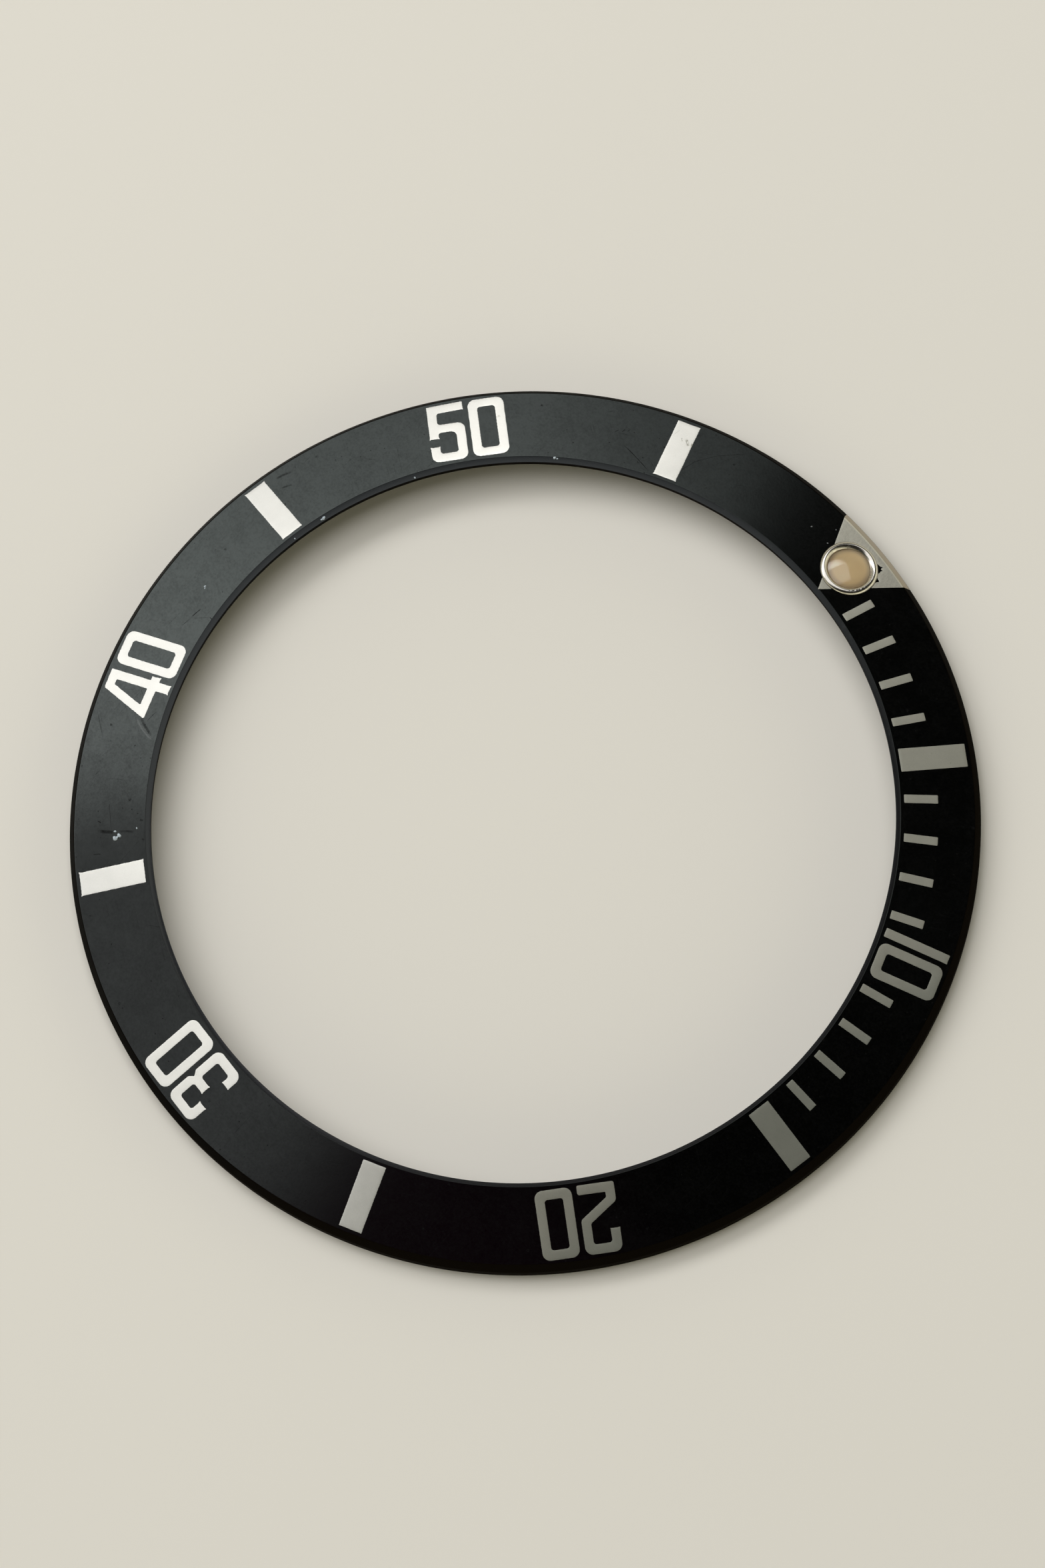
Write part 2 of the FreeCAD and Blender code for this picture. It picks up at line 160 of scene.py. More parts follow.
# Long thin noise: patches are length by width, turned by an angle about the ring's axis
def streaks(spot, length, width, angle, detail):
    turn = (0, 0, math.radians(angle))
    turned = spot.node("Mapping", {"vector_type": "POINT"}, {"Vector": spot, "Rotation": turn})
    return noise(turned.vector("MULTIPLY", (1 / length, 1 / width, 1 / length)), 1.0, detail)


# Scattered dots: one to a cell, kept where the cell's own random number passes the threshold
def dots(spot, spacing, radius, kept):
    cells = {"Vector": spot, "Scale": 1 / spacing}
    away = spot.node("TexVoronoi", {}, cells, output="Distance")
    lot = spot.node("SeparateColor", {}, {0: spot.node("TexVoronoi", {}, cells, output="Color")})
    return away.eased(radius / spacing, 0.4 * radius / spacing) * lot.eased(1 - kept, 1 - 0.9 * kept)


# Fine straight scratches: the peaks of very long thin noise, in patches of a second noise
def hairlines(spot, angle, shift):
    moved = spot.vector("ADD", (shift, 2 * shift, 0))
    line = streaks(moved, 3.0, 0.04, angle, detail=1.0).eased(0.69, 0.78)
    return line * noise(moved, 1.2, detail=1.0).eased(0.50, 0.62)


def bump(spot, height, depth):
    settings = {"Height": height, "Distance": depth * mm, "Strength": 1.0}
    return spot.node("Bump", {}, settings, output="Normal")


# Quads between neighbouring points of a grid whose last row meets its first
def gridFaces(rows, columns, wrapColumns=False):
    row, column = np.meshgrid(np.arange(rows), np.arange(columns - (not wrapColumns)), indexing="ij")
    nextRow, nextColumn = (row + 1) % rows, (column + 1) % columns
    around = [row * columns + column, row * columns + nextColumn,
              nextRow * columns + nextColumn, nextRow * columns + column]
    return np.stack(around, -1).reshape(-1, 4)


# A closed mesh from points in millimetres. Doubles at poles are merged and faces turned outward.
def closedMesh(name, points, faces, sharpAngle=40, weld=1e-5):
    mesh = bpy.data.meshes.new(name)
    mesh.from_pydata((np.asarray(points) * mm).tolist(), [], [list(map(int, face)) for face in faces])
    work = bmesh.new()
    work.from_mesh(mesh)
    bmesh.ops.remove_doubles(work, verts=work.verts, dist=weld * mm)
    bmesh.ops.recalc_face_normals(work, faces=work.faces)
    work.to_mesh(mesh)
    work.free()
    mesh.shade_smooth()
    mesh.set_sharp_from_angle(angle=math.radians(sharpAngle))
    return mesh


def addObject(name, data):
    added = bpy.data.objects.new(name, data)
    bpy.context.scene.collection.objects.link(added)
    return added


def place(name, mesh, materials, nodes=()):
    piece = addObject(name, mesh)
    for material in materials:
        mesh.materials.append(material)
    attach(piece, body)
    if nodes:
        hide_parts(*nodes)
    return piece


# Points of the arc round a centre from one place to another, the short way
def arc(centre, start, finish, steps):
    start, finish = start - centre, finish - centre
    turn = math.atan2(start[0] * finish[1] - start[1] * finish[0], start @ finish)
    angles = turn * np.linspace(0, 1, steps + 1)
    return centre + np.outer(np.cos(angles), start) + np.outer(np.sin(angles), [-start[1], start[0]])


# The arc that rounds a corner and touches both its sides, which leave it along two unit vectors
def cornerArc(corner, back, on, rounding, steps, longest=math.inf):
    half = math.acos(np.clip(back @ on, -1, 1)) / 2    # half the inner angle
    tangent = min(rounding / math.tan(half), longest)
    bisector = (back + on) / np.linalg.norm(back + on)
    centre = corner + bisector * tangent * math.tan(half) / math.sin(half)
    return arc(centre, corner + back * tangent, corner + on * tangent, steps)


# Points of an outline whose corners are rounded. A corner is (across, up, rounding, flare), and the
# flare pulls it out along its diagonal, fading over flareReach. An arc takes up to a share of a side.
def roundedOutline(corners, step=0.035, least=0.02, flareReach=0.045, arcSteps=10, sideShare=0.45):
    corners = [tuple(c) + (least, 0.0)[len(c) - 2:] for c in corners]
    spots = np.array([c[:2] for c in corners], float)
    before, after = np.roll(spots, 1, 0) - spots, np.roll(spots, -1, 0) - spots
    reachBefore, reachAfter = np.linalg.norm(before, axis=1), np.linalg.norm(after, axis=1)
    before, after = before / reachBefore[:, None], after / reachAfter[:, None]
    longest = sideShare * np.minimum(reachBefore, reachAfter)
    knots = np.concatenate([cornerArc(spots[index], before[index], after[index], corner[2], arcSteps,
                                      longest[index]) for index, corner in enumerate(corners)])
    runs = np.roll(knots, -1, 0) - knots
    dense = []
    for knot, run in zip(knots, runs):
        count = max(1, math.ceil(np.linalg.norm(run) / step))
        dense.append(knot + np.outer(np.arange(count) / count, run))
    dense = np.concatenate(dense)
    for index, (_, _, _, flare) in enumerate(corners):
        away = -(before[index] + after[index])
        near = np.exp(-((dense - spots[index]) ** 2).sum(1) / flareReach ** 2)
        dense = dense + flare * near[:, None] * away / np.linalg.norm(away)
    return dense


# Unit normals of a closed line of points, to its right
def sideways(loop):
    run = np.roll(loop, -1, 0) - np.roll(loop, 1, 0)
    run = run / np.linalg.norm(run, axis=1)[:, None]
    return np.stack([run[:, 1], -run[:, 0]], 1)


# Even-odd test: true for the points that an odd number of loop sides lies to the right of
def enclosed(points, loops):
    across, up = points.T[:, :, None]
    odd = np.zeros(len(points), bool)
    for loop in loops:
        (x, y), (nextX, nextY) = loop.T, np.roll(loop, -1, 0).T
        rises = (y > up) != (nextY > up)
        meets = x + (up - y) * ((nextX - x) / np.where(nextY == y, 1, nextY - y))
        odd ^= (rises & (across < meets)).sum(1) % 2 == 1
    return odd


# The ring: its section is carried round the axis
ring = {
    "outerRadius": cadHigh.x / mm,
    "ringWidth": 3.47,          # outer wall to the lip of the opening
    "leadChamfer": 0.06,
    "rimHeight": 0.60,
    "shoulderWidth": 0.33,
    "shoulderRise": 0.47,
    "shoulderReach": 0.10,      # how much further out the dial runs before it turns down
    "dialRise": 0.73,
    "rollWidth": 0.26,          # inner edge, where the face turns down to the lip
    "bevelWidth": 0.195,
    "bevelSlope": 46,           # degrees
    "crestRounding": 0.014,
    "lipLand": 0.28,
    "undercut": 0.50,
    "footWidth": 0.70,
    "footFlare": 0.20,
    "footHeight": 0.36,
    "edgeRounding": 0.06,
    "lipRounding": 0.02,
    "steps": 720,               # round the axis
    "dialSteps": 8,             # across the dial
    "guardRow": 0.006,          # share of the dial to the row that keeps a bend from shading it
    "facingLeast": 0.3,         # rise of a unit normal on the dial and the bevel
    "sharpAngle": 35,
}
shoulderRadius = ring["outerRadius"] - ring["shoulderWidth"]
shoulderHeight = ring["rimHeight"] + ring["shoulderRise"]
lipRadius = ring["outerRadius"] - ring["ringWidth"]
crestRadius = lipRadius + ring["rollWidth"]
crestHeight = shoulderHeight + ring["dialRise"]
dialWidth = shoulderRadius - crestRadius
dialSlope = ring["dialRise"] / dialWidth
dialTilt = math.atan(dialSlope)
footRadius = ring["outerRadius"] - ring["footWidth"]
flareRadius = footRadius - ring["footFlare"]


# A rounded bend in the section, between the straight runs from one place to the next
def bend(before, corner, after, rounding, steps=5):
    corner = np.array(corner, float)
    back, on = np.array(before) - corner, np.array(after) - corner
    back, on = back / np.linalg.norm(back), on / np.linalg.norm(on)
    return cornerArc(corner, back, on, rounding, steps)


# An arc from start to finish that bulges to the left of its chord by a height
def bowed(start, finish, bulge, steps):
    start, finish = np.array(start, float), np.array(finish, float)
    chord = finish - start
    length = np.linalg.norm(chord)
    left = np.array([-chord[1], chord[0]]) / length
    radius = ((length / 2) ** 2 + bulge ** 2) / (2 * bulge)
    return arc((start + finish) / 2 - left * (radius - bulge), start, finish, steps)


# The ring's section as (radius, height), from the lip over the dial and back by the underside
def ringSection():
    outer = ring["outerRadius"]
    kneeRadius = lipRadius + ring["bevelWidth"]
    knee = (kneeRadius, crestHeight + (crestRadius - kneeRadius) * dialSlope)
    lipHeight = knee[1] - ring["bevelWidth"] * math.tan(math.radians(ring["bevelSlope"]))
    undercutRadius = lipRadius + ring["undercut"]
    reach = ring["shoulderReach"]
    lip = (lipRadius, lipHeight)
    shoulder, rim = (shoulderRadius + reach, shoulderHeight - reach * dialSlope), (outer, ring["rimHeight"])
    rounding = ring["edgeRounding"]
    crest = bend(lip, knee, shoulder, ring["crestRounding"])
    edge = bend(knee, shoulder, rim, rounding)
    shares = np.concatenate([[ring["guardRow"]], np.arange(1, ring["dialSteps"]) / ring["dialSteps"],
                             [1 - ring["guardRow"]]])
    dial = crest[-1] + shares[:, None] * (edge[0] - crest[-1])
    face = [bend((lipRadius, 0), lip, knee, ring["lipRounding"]), crest, dial, edge,
            bend(shoulder, rim, (outer, 0), rounding)]
    lead = ring["leadChamfer"]
    rest = [(outer, lead), (outer - lead, 0), (footRadius, 0), (flareRadius, ring["footHeight"]),
            (undercutRadius, ring["footHeight"] + (flareRadius - undercutRadius) * dialSlope),
            (lipRadius, lipHeight - ring["lipLand"])]
    return np.concatenate(face), np.array(rest)


sectionFace, sectionRest = ringSection()
topOfFace = sectionFace[np.argsort(sectionFace[:, 0], kind="stable")]


# Height of the ring's face at a radius, read off its own section
def faceHeight(radius):
    return np.interp(radius, topOfFace[:, 0], topOfFace[:, 1])


# Points (across, up) of a minute's own frame, laid on the face with a lift along the axis
def onFace(minute, across, up, lift):
    angle = 2 * math.pi * minute / minutesPerTurn
    height = faceHeight(np.hypot(across, up)) + lift
    return np.stack([across * math.cos(angle) + up * math.sin(angle),
                     up * math.cos(angle) - across * math.sin(angle), height], -1)


# A profile of (radius, height) points carried round the axis: x = r cos a, y = r sin a, z = height
def spun(profile, steps):
    angles = np.arange(steps) * 2 * math.pi / steps
    radius, height = profile[:, 0], profile[:, 1]
    return np.stack([np.outer(np.cos(angles), radius), np.outer(np.sin(angles), radius),
                     np.broadcast_to(height, (steps, len(height)))], -1)


# The pearl stands square to the sloping dial, on one tilted axis at zero
pearl = {
    "offset": 0.10,             # outside the middle of the dial
    "margin": 0.215,            # dark dial beside the bead, as half of what the bead leaves
    "seatDepth": 0.06,
    "seatClearance": 0.025,
    "overrun": 1.0,             # of the drill past the ring
    "beadOverhang": 0.175,
    "beadWall": 0.03,
    "beadBulge": 0.038,
    "crestRadius": 1.045,
    "crestHeight": 0.155,
    "crestHalf": 0.05,          # how wide a nick is across the bead
    "throatRadius": 0.90,       # foot of the bead's inner slope, where the lens sits
    "throatHeight": 0.035,
    "throatBulge": 0.012,
    "proud": 0.12,              # barrel below the underside
    "chamfer": 0.05,            # of the barrel's foot
    "floor": 0.12,
    "clearance": 0.01,
    "lensFoot": 0.06,
    "bedding": 0.005,           # how far the fill is pressed into the lens
    "lensRim": 0.02,
    "lensChamfer": 0.01,
    "dome": 0.19,
    "fillChamfer": 0.02,
    "fillWave": 0.003,
    "steps": 192,
    "beadSteps": 288,
}
pearlRadius = (shoulderRadius + crestRadius) / 2 + pearl["offset"]
pearlHeight = shoulderHeight + (shoulderRadius - pearlRadius) * dialSlope
beadRadius = dialWidth / 2 - pearl["margin"]
barrelRadius = beadRadius - pearl["beadOverhang"]
plateHeight = pearlHeight - ring["footHeight"] - (flareRadius - pearlRadius) * dialSlope
cupDepth = plateHeight * math.cos(dialTilt) + pearl["proud"]


# Turn points of the pearl's own frame onto its tilted axis
def onPearlAxis(points):
    x, y, z = np.moveaxis(np.asarray(points, float), -1, 0)
    cosTilt, sinTilt = math.cos(dialTilt), math.sin(dialTilt)
    return np.stack([x, pearlRadius + y * cosTilt + z * sinTilt,
                     pearlHeight - y * sinTilt + z * cosTilt], -1)


def spunOnPearl(name, profile, steps=pearl["steps"], sharpAngle=40, change=lambda points: points):
    points = change(spun(np.asarray(profile, float), steps))
    return closedMesh(name, onPearlAxis(points).reshape(-1, 3), gridFaces(*points.shape[:2]), sharpAngle)


# Anodised face: near black with a satin gloss, pitted, dusty and crossed by fine scratches
face = {
    "tint": tone(0.0004, 0.0004, 0.0004),
    "lowTint": tone(0.0024, 0.0006, 0.0017),    # towards the bar at 30
    "lowEnds": (-3.0, -13.0),   # millimetres along Y
    "gloss": 0.13,
    "specular": 0.290,
    "specularTint": tone(0.89, 1.0, 0.97),
    "pits": ((0.30, 0.045, 0.30), (0.8, 0.09, 0.35)),       # spacing, radius and share kept
    "hairs": ((25, 0.3), (82, 5.1), (140, 9.4)),    # heading in degrees and shift of the pattern
    "pitTint": tone(0.0012, 0.0012, 0.0016),
    "dust": (1.3, 0.05, 0.25),
    "dustAndHighlightTint": tone(0.22, 0.23, 0.24),
    # how much each of these dulls it
    "pitShare": 0.6,
    "hairShare": 0.3,
    "grainShare": 0.24,
    "cloudShare": 0.40,
    "mottleShare": 0.35,
    "lowShare": 0.08,
}
# Scratches in the face: minute and radius of both ends, width, sideways bow and strength
faceScratches = [
    (53.72, 16.56, 54.59, 15.61, 0.045, 0.03, 0.9), (54.53, 16.09, 54.65, 15.89, 0.025, 0.0, 0.8),
    (55.42, 16.59, 55.65, 17.06, 0.03, 0.04, 0.7), (41.71, 16.30, 42.04, 16.14, 0.06, 0.01, 0.8),
    (41.41, 16.46, 41.68, 16.30, 0.03, 0.0, 0.7), (41.70, 16.26, 41.93, 15.60, 0.03, 0.0, 0.5),
    (41.95, 15.62, 41.90, 15.38, 0.05, 0.0, 0.9), (38.87, 16.10, 39.15, 15.83, 0.045, 0.0, 0.6),
    (38.96, 16.46, 38.50, 15.70, 0.16, 0.0, 0.55), (36.14, 17.45, 36.07, 16.78, 0.20, 0.0, 0.65),
    (36.08, 16.66, 36.03, 15.90, 0.15, 0.02, 0.5), (36.10, 16.90, 36.85, 17.05, 0.03, 0.02, 0.5),
    (36.34, 15.72, 36.30, 15.55, 0.12, 0.0, 0.6), (35.62, 17.75, 35.60, 17.35, 0.07, 0.0, 0.6),
    (36.38, 17.52, 36.33, 17.35, 0.07, 0.0, 0.6), (45.48, 18.13, 45.90, 17.99, 0.15, 0.03, 0.6),
    (45.46, 17.63, 45.72, 17.47, 0.11, 0.0, 0.5), (46.46, 18.08, 46.58, 18.02, 0.14, 0.0, 0.4),
    (55.26, 16.05, 55.52, 16.80, 0.04, 0.03, 0.6), (55.44, 16.66, 55.95, 17.58, 0.04, 0.03, 0.45),
    (55.82, 17.40, 56.48, 18.27, 0.04, 0.0, 0.5), (55.90, 16.90, 56.40, 18.12, 0.03, 0.05, 0.35),
    (56.56, 16.64, 56.90, 16.92, 0.04, 0.0, 0.35), (53.46, 17.03, 53.55, 17.19, 0.07, 0.0, 0.6),
    (53.62, 17.08, 53.69, 17.28, 0.06, 0.0, 0.6), (53.74, 17.17, 53.81, 17.33, 0.06, 0.0, 0.5),
    (53.16, 17.89, 53.38, 18.05, 0.06, 0.0, 0.3),
]
# The scuff below the four has a low ridge beside its dark line: it is bumped, and painted lighter as a
# painted highlight
scuffRidgesWithHighlight = [
    (38.93, 16.60, 38.38, 15.56, 0.10, -0.085, 0.30), (38.80, 16.35, 38.45, 15.62, 0.05, -0.03, 0.16),
]


def ringSpot(minute, radius):
    angle = 2 * math.pi * minute / minutesPerTurn
    return np.array([radius * math.sin(angle), radius * math.cos(angle)])


# 1 on a thin bowed line between two places, fading at its ends and sides
def scratchMask(x, y, minute, radius, endMinute, endRadius, width, bow, strength):
    first, last = ringSpot(minute, radius), ringSpot(endMinute, endRadius)
    run = last - first
    length = float(np.linalg.norm(run))
    ahead = (run / length).tolist()
    x, y = x - float(first[0]), y - float(first[1])
    along = x * ahead[0] + y * ahead[1]
    aside = y * ahead[0] - x * ahead[1]
    aside = aside - along * (length - along) * (4 * bow / length ** 2)
    ends = along.eased(0, 0.25 * length) * along.eased(length, 0.75 * length)
    return ends * abs(aside).eased(width / 2, width / 8) * strength


# The strongest of several scratches at each spot
def worstOf(spot, scratches):
    x, y = spot.axis("X"), spot.axis("Y")
    return strongest([scratchMask(x, y, *scratch) for scratch in scratches])


def dialBlack():
    material, spot = startMaterial("anodisedFace")
    grain = noise(spot, 0.10, rough=0.7)
    cloud = noise(spot, 1.1, detail=4.0)
    mottle = noise(spot, 0.26)
    low = spot.axis("Y").eased(*face["lowEnds"])
    patchy = noise(spot, 0.05, detail=2.0).eased(0.35, 0.55)
    pits = strongest([dots(spot, *kind) for kind in face["pits"]]) * patchy
    hair = strongest([hairlines(spot, *kind) for kind in face["hairs"]])
    worn = worstOf(spot, faceScratches) * (noise(spot, 0.14).eased(0.25, 0.55) * 0.5 + 0.5)
    dark = (pits * face["pitShare"]).atLeast(hair * face["hairShare"]).atLeast(worn)
    dark = dark + grain.eased(0.35, 0.75) * face["grainShare"] + (cloud - 0.5) * face["cloudShare"]
    dark = dark + (mottle - 0.5) * face["mottleShare"] + low * face["lowShare"]
    # the scuff's ridge is bumped, and also laid over with the pale dust tint as a painted highlight
    scuffBumpAndHighlight = worstOf(spot, scuffRidgesWithHighlight)
    bright = (dots(spot, *face["dust"]) * 0.6).atLeast(scuffBumpAndHighlight)
    paint(material, Base_Color=low.blend(face["tint"], face["lowTint"]),
          Roughness=(grain - 0.5) * 0.06 + face["gloss"],
          Specular_IOR_Level=face["specular"], Specular_Tint=face["specularTint"],
          Normal=bump(spot, grain * 0.2 + cloud * 0.6 + scuffBumpAndHighlight, 0.003))
    overlay(material, dark, Base_Color=face["pitTint"], Roughness=0.7, Specular_IOR_Level=0.12)
    return overlay(material, bright, Base_Color=face["dustAndHighlightTint"], Roughness=0.8)


# Walls, shoulder and underside: the same black, left matt by the turning tool, and duller on the upright
# wall;
# at the top and on the side of the tick marks it is painted browner and matt, a painted reflection
edge = {
    "tint": tone(0.0022, 0.0017, 0.0011),
    "wearAndPaintedShadeTint": tone(0.006, 0.005, 0.004),
    "dullAndPaintedLightTint": tone(0.0042, 0.0028, 0.0014),
    "dullAndPaintedLightShare": 0.85,
    "wallEnds": (ring["outerRadius"] - 0.05, ring["outerRadius"] - 0.01),
    "sideEnds": (2.0, 9.0),     # millimetres along X
    "topEnds": (-4.0, 11.0),    # and along Y
    "topShare": 0.75,
    "gloss": 0.36,
    "specular": 0.008,
}


def edgeBlack():
    material, spot = startMaterial("turnedEdge")
    radius = spot.fromAxis()
    section = {"W": radius + spot.axis("Z"), "Scale": 22.0, "Detail": 3.0}
    lathe = spot.node("TexNoise", {"noise_dimensions": "1D"}, section)
    grain = noise(spot, 0.04)
    wear = noise(spot, 0.7, detail=4.0).eased(0.58, 0.80)
    paint(material, Base_Color=wear.blend(edge["tint"], edge["wearAndPaintedShadeTint"]),
          Roughness=(lathe - 0.5) * 0.2 + edge["gloss"], Specular_IOR_Level=edge["specular"],
          Normal=bump(spot, lathe * 0.7 + grain * 0.4, 0.003))
    aside = spot.axis("X").eased(*edge["sideEnds"])
    above = spot.axis("Y").eased(*edge["topEnds"]) * edge["topShare"]
    # the upright wall is really duller; the top and the side of the tick marks get a painted brown
    # reflection
    dull = strongest([radius.eased(*edge["wallEnds"]), aside, above])
    return overlay(material, dull * edge["dullAndPaintedLightShare"], Base_Color=edge["dullAndPaintedLightTint"], Roughness=0.7,
                   Specular_IOR_Level=edge["specular"])


# The bevel at the inner edge is smooth and a little worn, and has painted shade on the side of the tick
# marks, darker and duller there
bevel = {
    "tint": tone(0.0012, 0.0013, 0.0016),
    "wearAndPaintedShadeTint": tone(0.014, 0.014, 0.015),
    "dullAndPaintedLightTint": tone(0.002, 0.002, 0.0022),
    "dullAndPaintedLightShare": 0.72,
    "gloss": 0.17,
    "specular": 0.48,
    "specularTint": tone(0.635, 0.71, 1.0),
    "paintedShadeSideEnds": (0.0, 13.0),    # millimetres along X
}


def bevelBlack():
    material, spot = startMaterial("bevelEdge")
    wear = noise(spot, 0.5, detail=4.0).eased(0.60, 0.78)
    grain = noise(spot, 0.06)
    paint(material, Base_Color=wear.blend(bevel["tint"], bevel["wearAndPaintedShadeTint"]),
          Roughness=wear * 0.15 + bevel["gloss"], Specular_IOR_Level=bevel["specular"],
          Specular_Tint=bevel["specularTint"], Normal=bump(spot, grain, 0.002))
    # painted shade: the bevel is darker and duller towards +X, on the side of the tick marks
    dull = spot.axis("X").eased(*bevel["paintedShadeSideEnds"]) * bevel["dullAndPaintedLightShare"]
    return overlay(material, dull, Base_Color=bevel["dullAndPaintedLightTint"], Roughness=0.6, Specular_IOR_Level=0.05)


# Bare metal of the bars, ticks and numerals: fine-etched aluminium, with painted shade that makes it darker
# and yellower by the tick marks, palest halfway round and darker by the forty
bare = {
    "tint": tone(0.700, 0.690, 0.655),
    "paintedShadeAwayTint": tone(0.480, 0.474, 0.410),
    "paintedShadeAwayEnds": (2.0, -8.0),    # millimetres towards the forty
    "wearAndPaintedShadeTint": tone(0.410, 0.405, 0.385),
    "paintedShadeFortyEnds": (4.0, 16.5),
    "paintedShadeMinute": 40.8,
    "dullAndPaintedLightTint": tone(0.400, 0.408, 0.357),
    "paintedShadeSideEnds": (14.0, 16.5),   # millimetres along X
    "shade": 0.93,
    "stain": tone(0.17, 0.16, 0.11),
    # spacing, radius, share kept and strength
    "specks": ((1.3, 0.10, 0.4, 0.6), (0.35, 0.035, 0.3, 0.4)),
    "gloss": 0.35,
    "metallic": 0.86,
}
# Stains on the bar at 55, given like the face's scratches
markStains = [
    (55.06, 17.66, 55.20, 17.34, 0.16, 0.02, 0.75), (55.24, 17.58, 55.30, 17.30, 0.09, -0.02, 0.6),
    (54.97, 17.64, 55.02, 17.46, 0.07, 0.0, 0.6), (54.74, 17.52, 54.88, 18.00, 0.03, 0.0, 0.35),
]


def bareMetal():
    material, spot = startMaterial("bareMark")
    grain = noise(spot, 0.045, detail=4.0, rough=0.65)
    cloud = noise(spot, 0.6)
    broken = noise(spot, 0.08)
    specks = strongest([dots(spot, *kind) * share for *kind, share in bare["specks"]])
    stains = worstOf(spot, markStains) * broken.eased(0.32, 0.50)
    stains = stains.atLeast(specks * broken.eased(0.42, 0.62))
    x, y = spot.axis("X"), spot.axis("Y")
    ahead = ringSpot(bare["paintedShadeMinute"], 1.0).tolist()
    toward = x * ahead[0] + y * ahead[1]
    # painted shade: darker and yellower away from the forty, on the side of the tick marks
    tint = toward.eased(*bare["paintedShadeAwayEnds"]).blend(bare["tint"], bare["paintedShadeAwayTint"])
    # painted shade: darker by the forty, where the light on the marks is strongest
    tint = toward.eased(*bare["paintedShadeFortyEnds"]).blend(tint, bare["wearAndPaintedShadeTint"])
    # painted shade: darker and yellower at the far side along X
    tint = x.eased(*bare["paintedShadeSideEnds"]).blend(tint, bare["dullAndPaintedLightTint"])
    shade = tint.vector("MULTIPLY", [bare["shade"]] * 3)
    tint = (grain * 0.6 + cloud * 0.4).eased(0.38, 0.62).blend(shade, tint)
    tint = stains.blend(tint, bare["stain"])
    return paint(material, Base_Color=tint, Metallic=bare["metallic"],
                 Roughness=(grain - 0.5) * 0.12 + bare["gloss"], Normal=bump(spot, grain, 0.0012))


# The triangle's metal is coarser, with short wavy strokes, painted brown over the shoulder as a painted
# reflection, with a painted highlight line
grained = {
    "tint": tone(0.54, 0.525, 0.455),
    "shade": tone(0.45, 0.435, 0.375),
    "paintedReflection": tone(0.34, 0.27, 0.18),
    "paintedReflectionEnds": (0.04, 0.14),    # millimetres past the shoulder
    "paintedReflectionShare": 0.75,
    "paintedHighlight": tone(0.78, 0.74, 0.62),
    "paintedHighlightEnds": ((0.0, 0.05), (0.10, 0.06)),      # where the painted highlight line begins and ends
    "paintedHighlightShare": 0.8,
    "gloss": 0.36,
}


def grainedMetal():
    material, spot = startMaterial("grainedTriangle")
    swirl = spot.node("TexNoise", {}, {"Vector": spot, "Scale": 2.2}, output="Color")
    wavy = spot.vector("ADD", swirl.vector("MULTIPLY", [0.3] * 3))
    strokes = streaks(wavy, 0.30, 0.05, 60, detail=3.0)
    texture = strokes * 0.5 + noise(spot, 0.05) * 0.5
    past = spot.fromAxis() - shoulderRadius
    begins, ends = (past.eased(*places) for places in grained["paintedHighlightEnds"])
    tint = texture.eased(0.36, 0.62).blend(grained["shade"], grained["tint"])
    # painted reflection: browner over the shoulder's chamfer
    paintedReflection = past.eased(*grained["paintedReflectionEnds"]) * grained["paintedReflectionShare"]
    tint = paintedReflection.blend(tint, grained["paintedReflection"])
    # painted highlight: a bright line along the shoulder's edge
    tint = (begins * ends * grained["paintedHighlightShare"]).blend(tint, grained["paintedHighlight"])
    return paint(material, Base_Color=tint, Metallic=1.0, Normal=bump(spot, texture, 0.0022),
                 Roughness=(strokes - 0.5) * 0.1 + grained["gloss"])


# Polished cup: bright, with faint turning lines and a few dull spots
polished = {
    "tint": tone(0.56, 0.53, 0.49),
    "dull": tone(0.36, 0.33, 0.30),
    "gloss": 0.20,
}


def polishedMetal():
    material, spot = startMaterial("polishedCup")
    haze = noise(spot, 0.25, detail=4.0).eased(0.50, 0.75)
    fine = noise(spot, 0.03, detail=2.0)
    tint = (haze * 0.5).blend(polished["tint"], polished["dull"])
    return paint(material, Base_Color=tint, Metallic=1.0, Roughness=polished["gloss"] + haze * 0.12,
                 Normal=bump(spot, fine * 0.5 + haze * 0.5, 0.0012))


# Aged luminous fill: creamy tan, faintly blotched, with painted shade darkening its rim
lume = {
    "tint": tone(1.00, 0.80, 0.50),
    "shade": tone(0.94, 0.71, 0.40),
    "paintedRimShade": tone(0.50, 0.38, 0.25),
    "rimEnds": (0.60, 0.88),    # millimetres from the pearl's axis
    "rimShare": 0.8,
    "roughness": 0.6,
}


def agedLume():
    material, spot = startMaterial("agedLume")
    blotch = noise(spot, 0.9).eased(0.35, 0.70)
    grain = noise(spot, 0.03, detail=2.0)
    tint = (blotch * 0.6 + grain * 0.2).blend(lume["tint"], lume["shade"])
    reach = spot.vector("SUBTRACT", (0, pearlRadius, 0)).fromAxis()
    # painted shade: the fill darkens towards the cup's wall
    tint = (reach.eased(*lume["rimEnds"]) * lume["rimShare"]).blend(tint, lume["paintedRimShade"])
    return paint(material, Base_Color=tint, Roughness=lume["roughness"],
                 Normal=bump(spot, grain + blotch, 0.004))


lens = {
    "tint": tone(1.0, 1.0, 0.98),
    "gloss": 0.02,
    "wiped": 0.05,              # how much duller it is in places
    "index": 1.68,
}


def clearLens():
    material, spot = startMaterial("clearLens")
    wipe = noise(spot, 0.5, detail=4.0).eased(0.45, 0.80)
    return paint(material, Base_Color=lens["tint"], Roughness=wipe * lens["wiped"] + lens["gloss"],
                 IOR=lens["index"], Transmission_Weight=1.0)


faceFinish, edgeFinish, bevelFinish = dialBlack(), edgeBlack(), bevelBlack()
markFinish, triangleFinish = bareMetal(), grainedMetal()
cupFinish, lumeFinish, lensFinish = polishedMetal(), agedLume(), clearLens()
print("finishes ready")


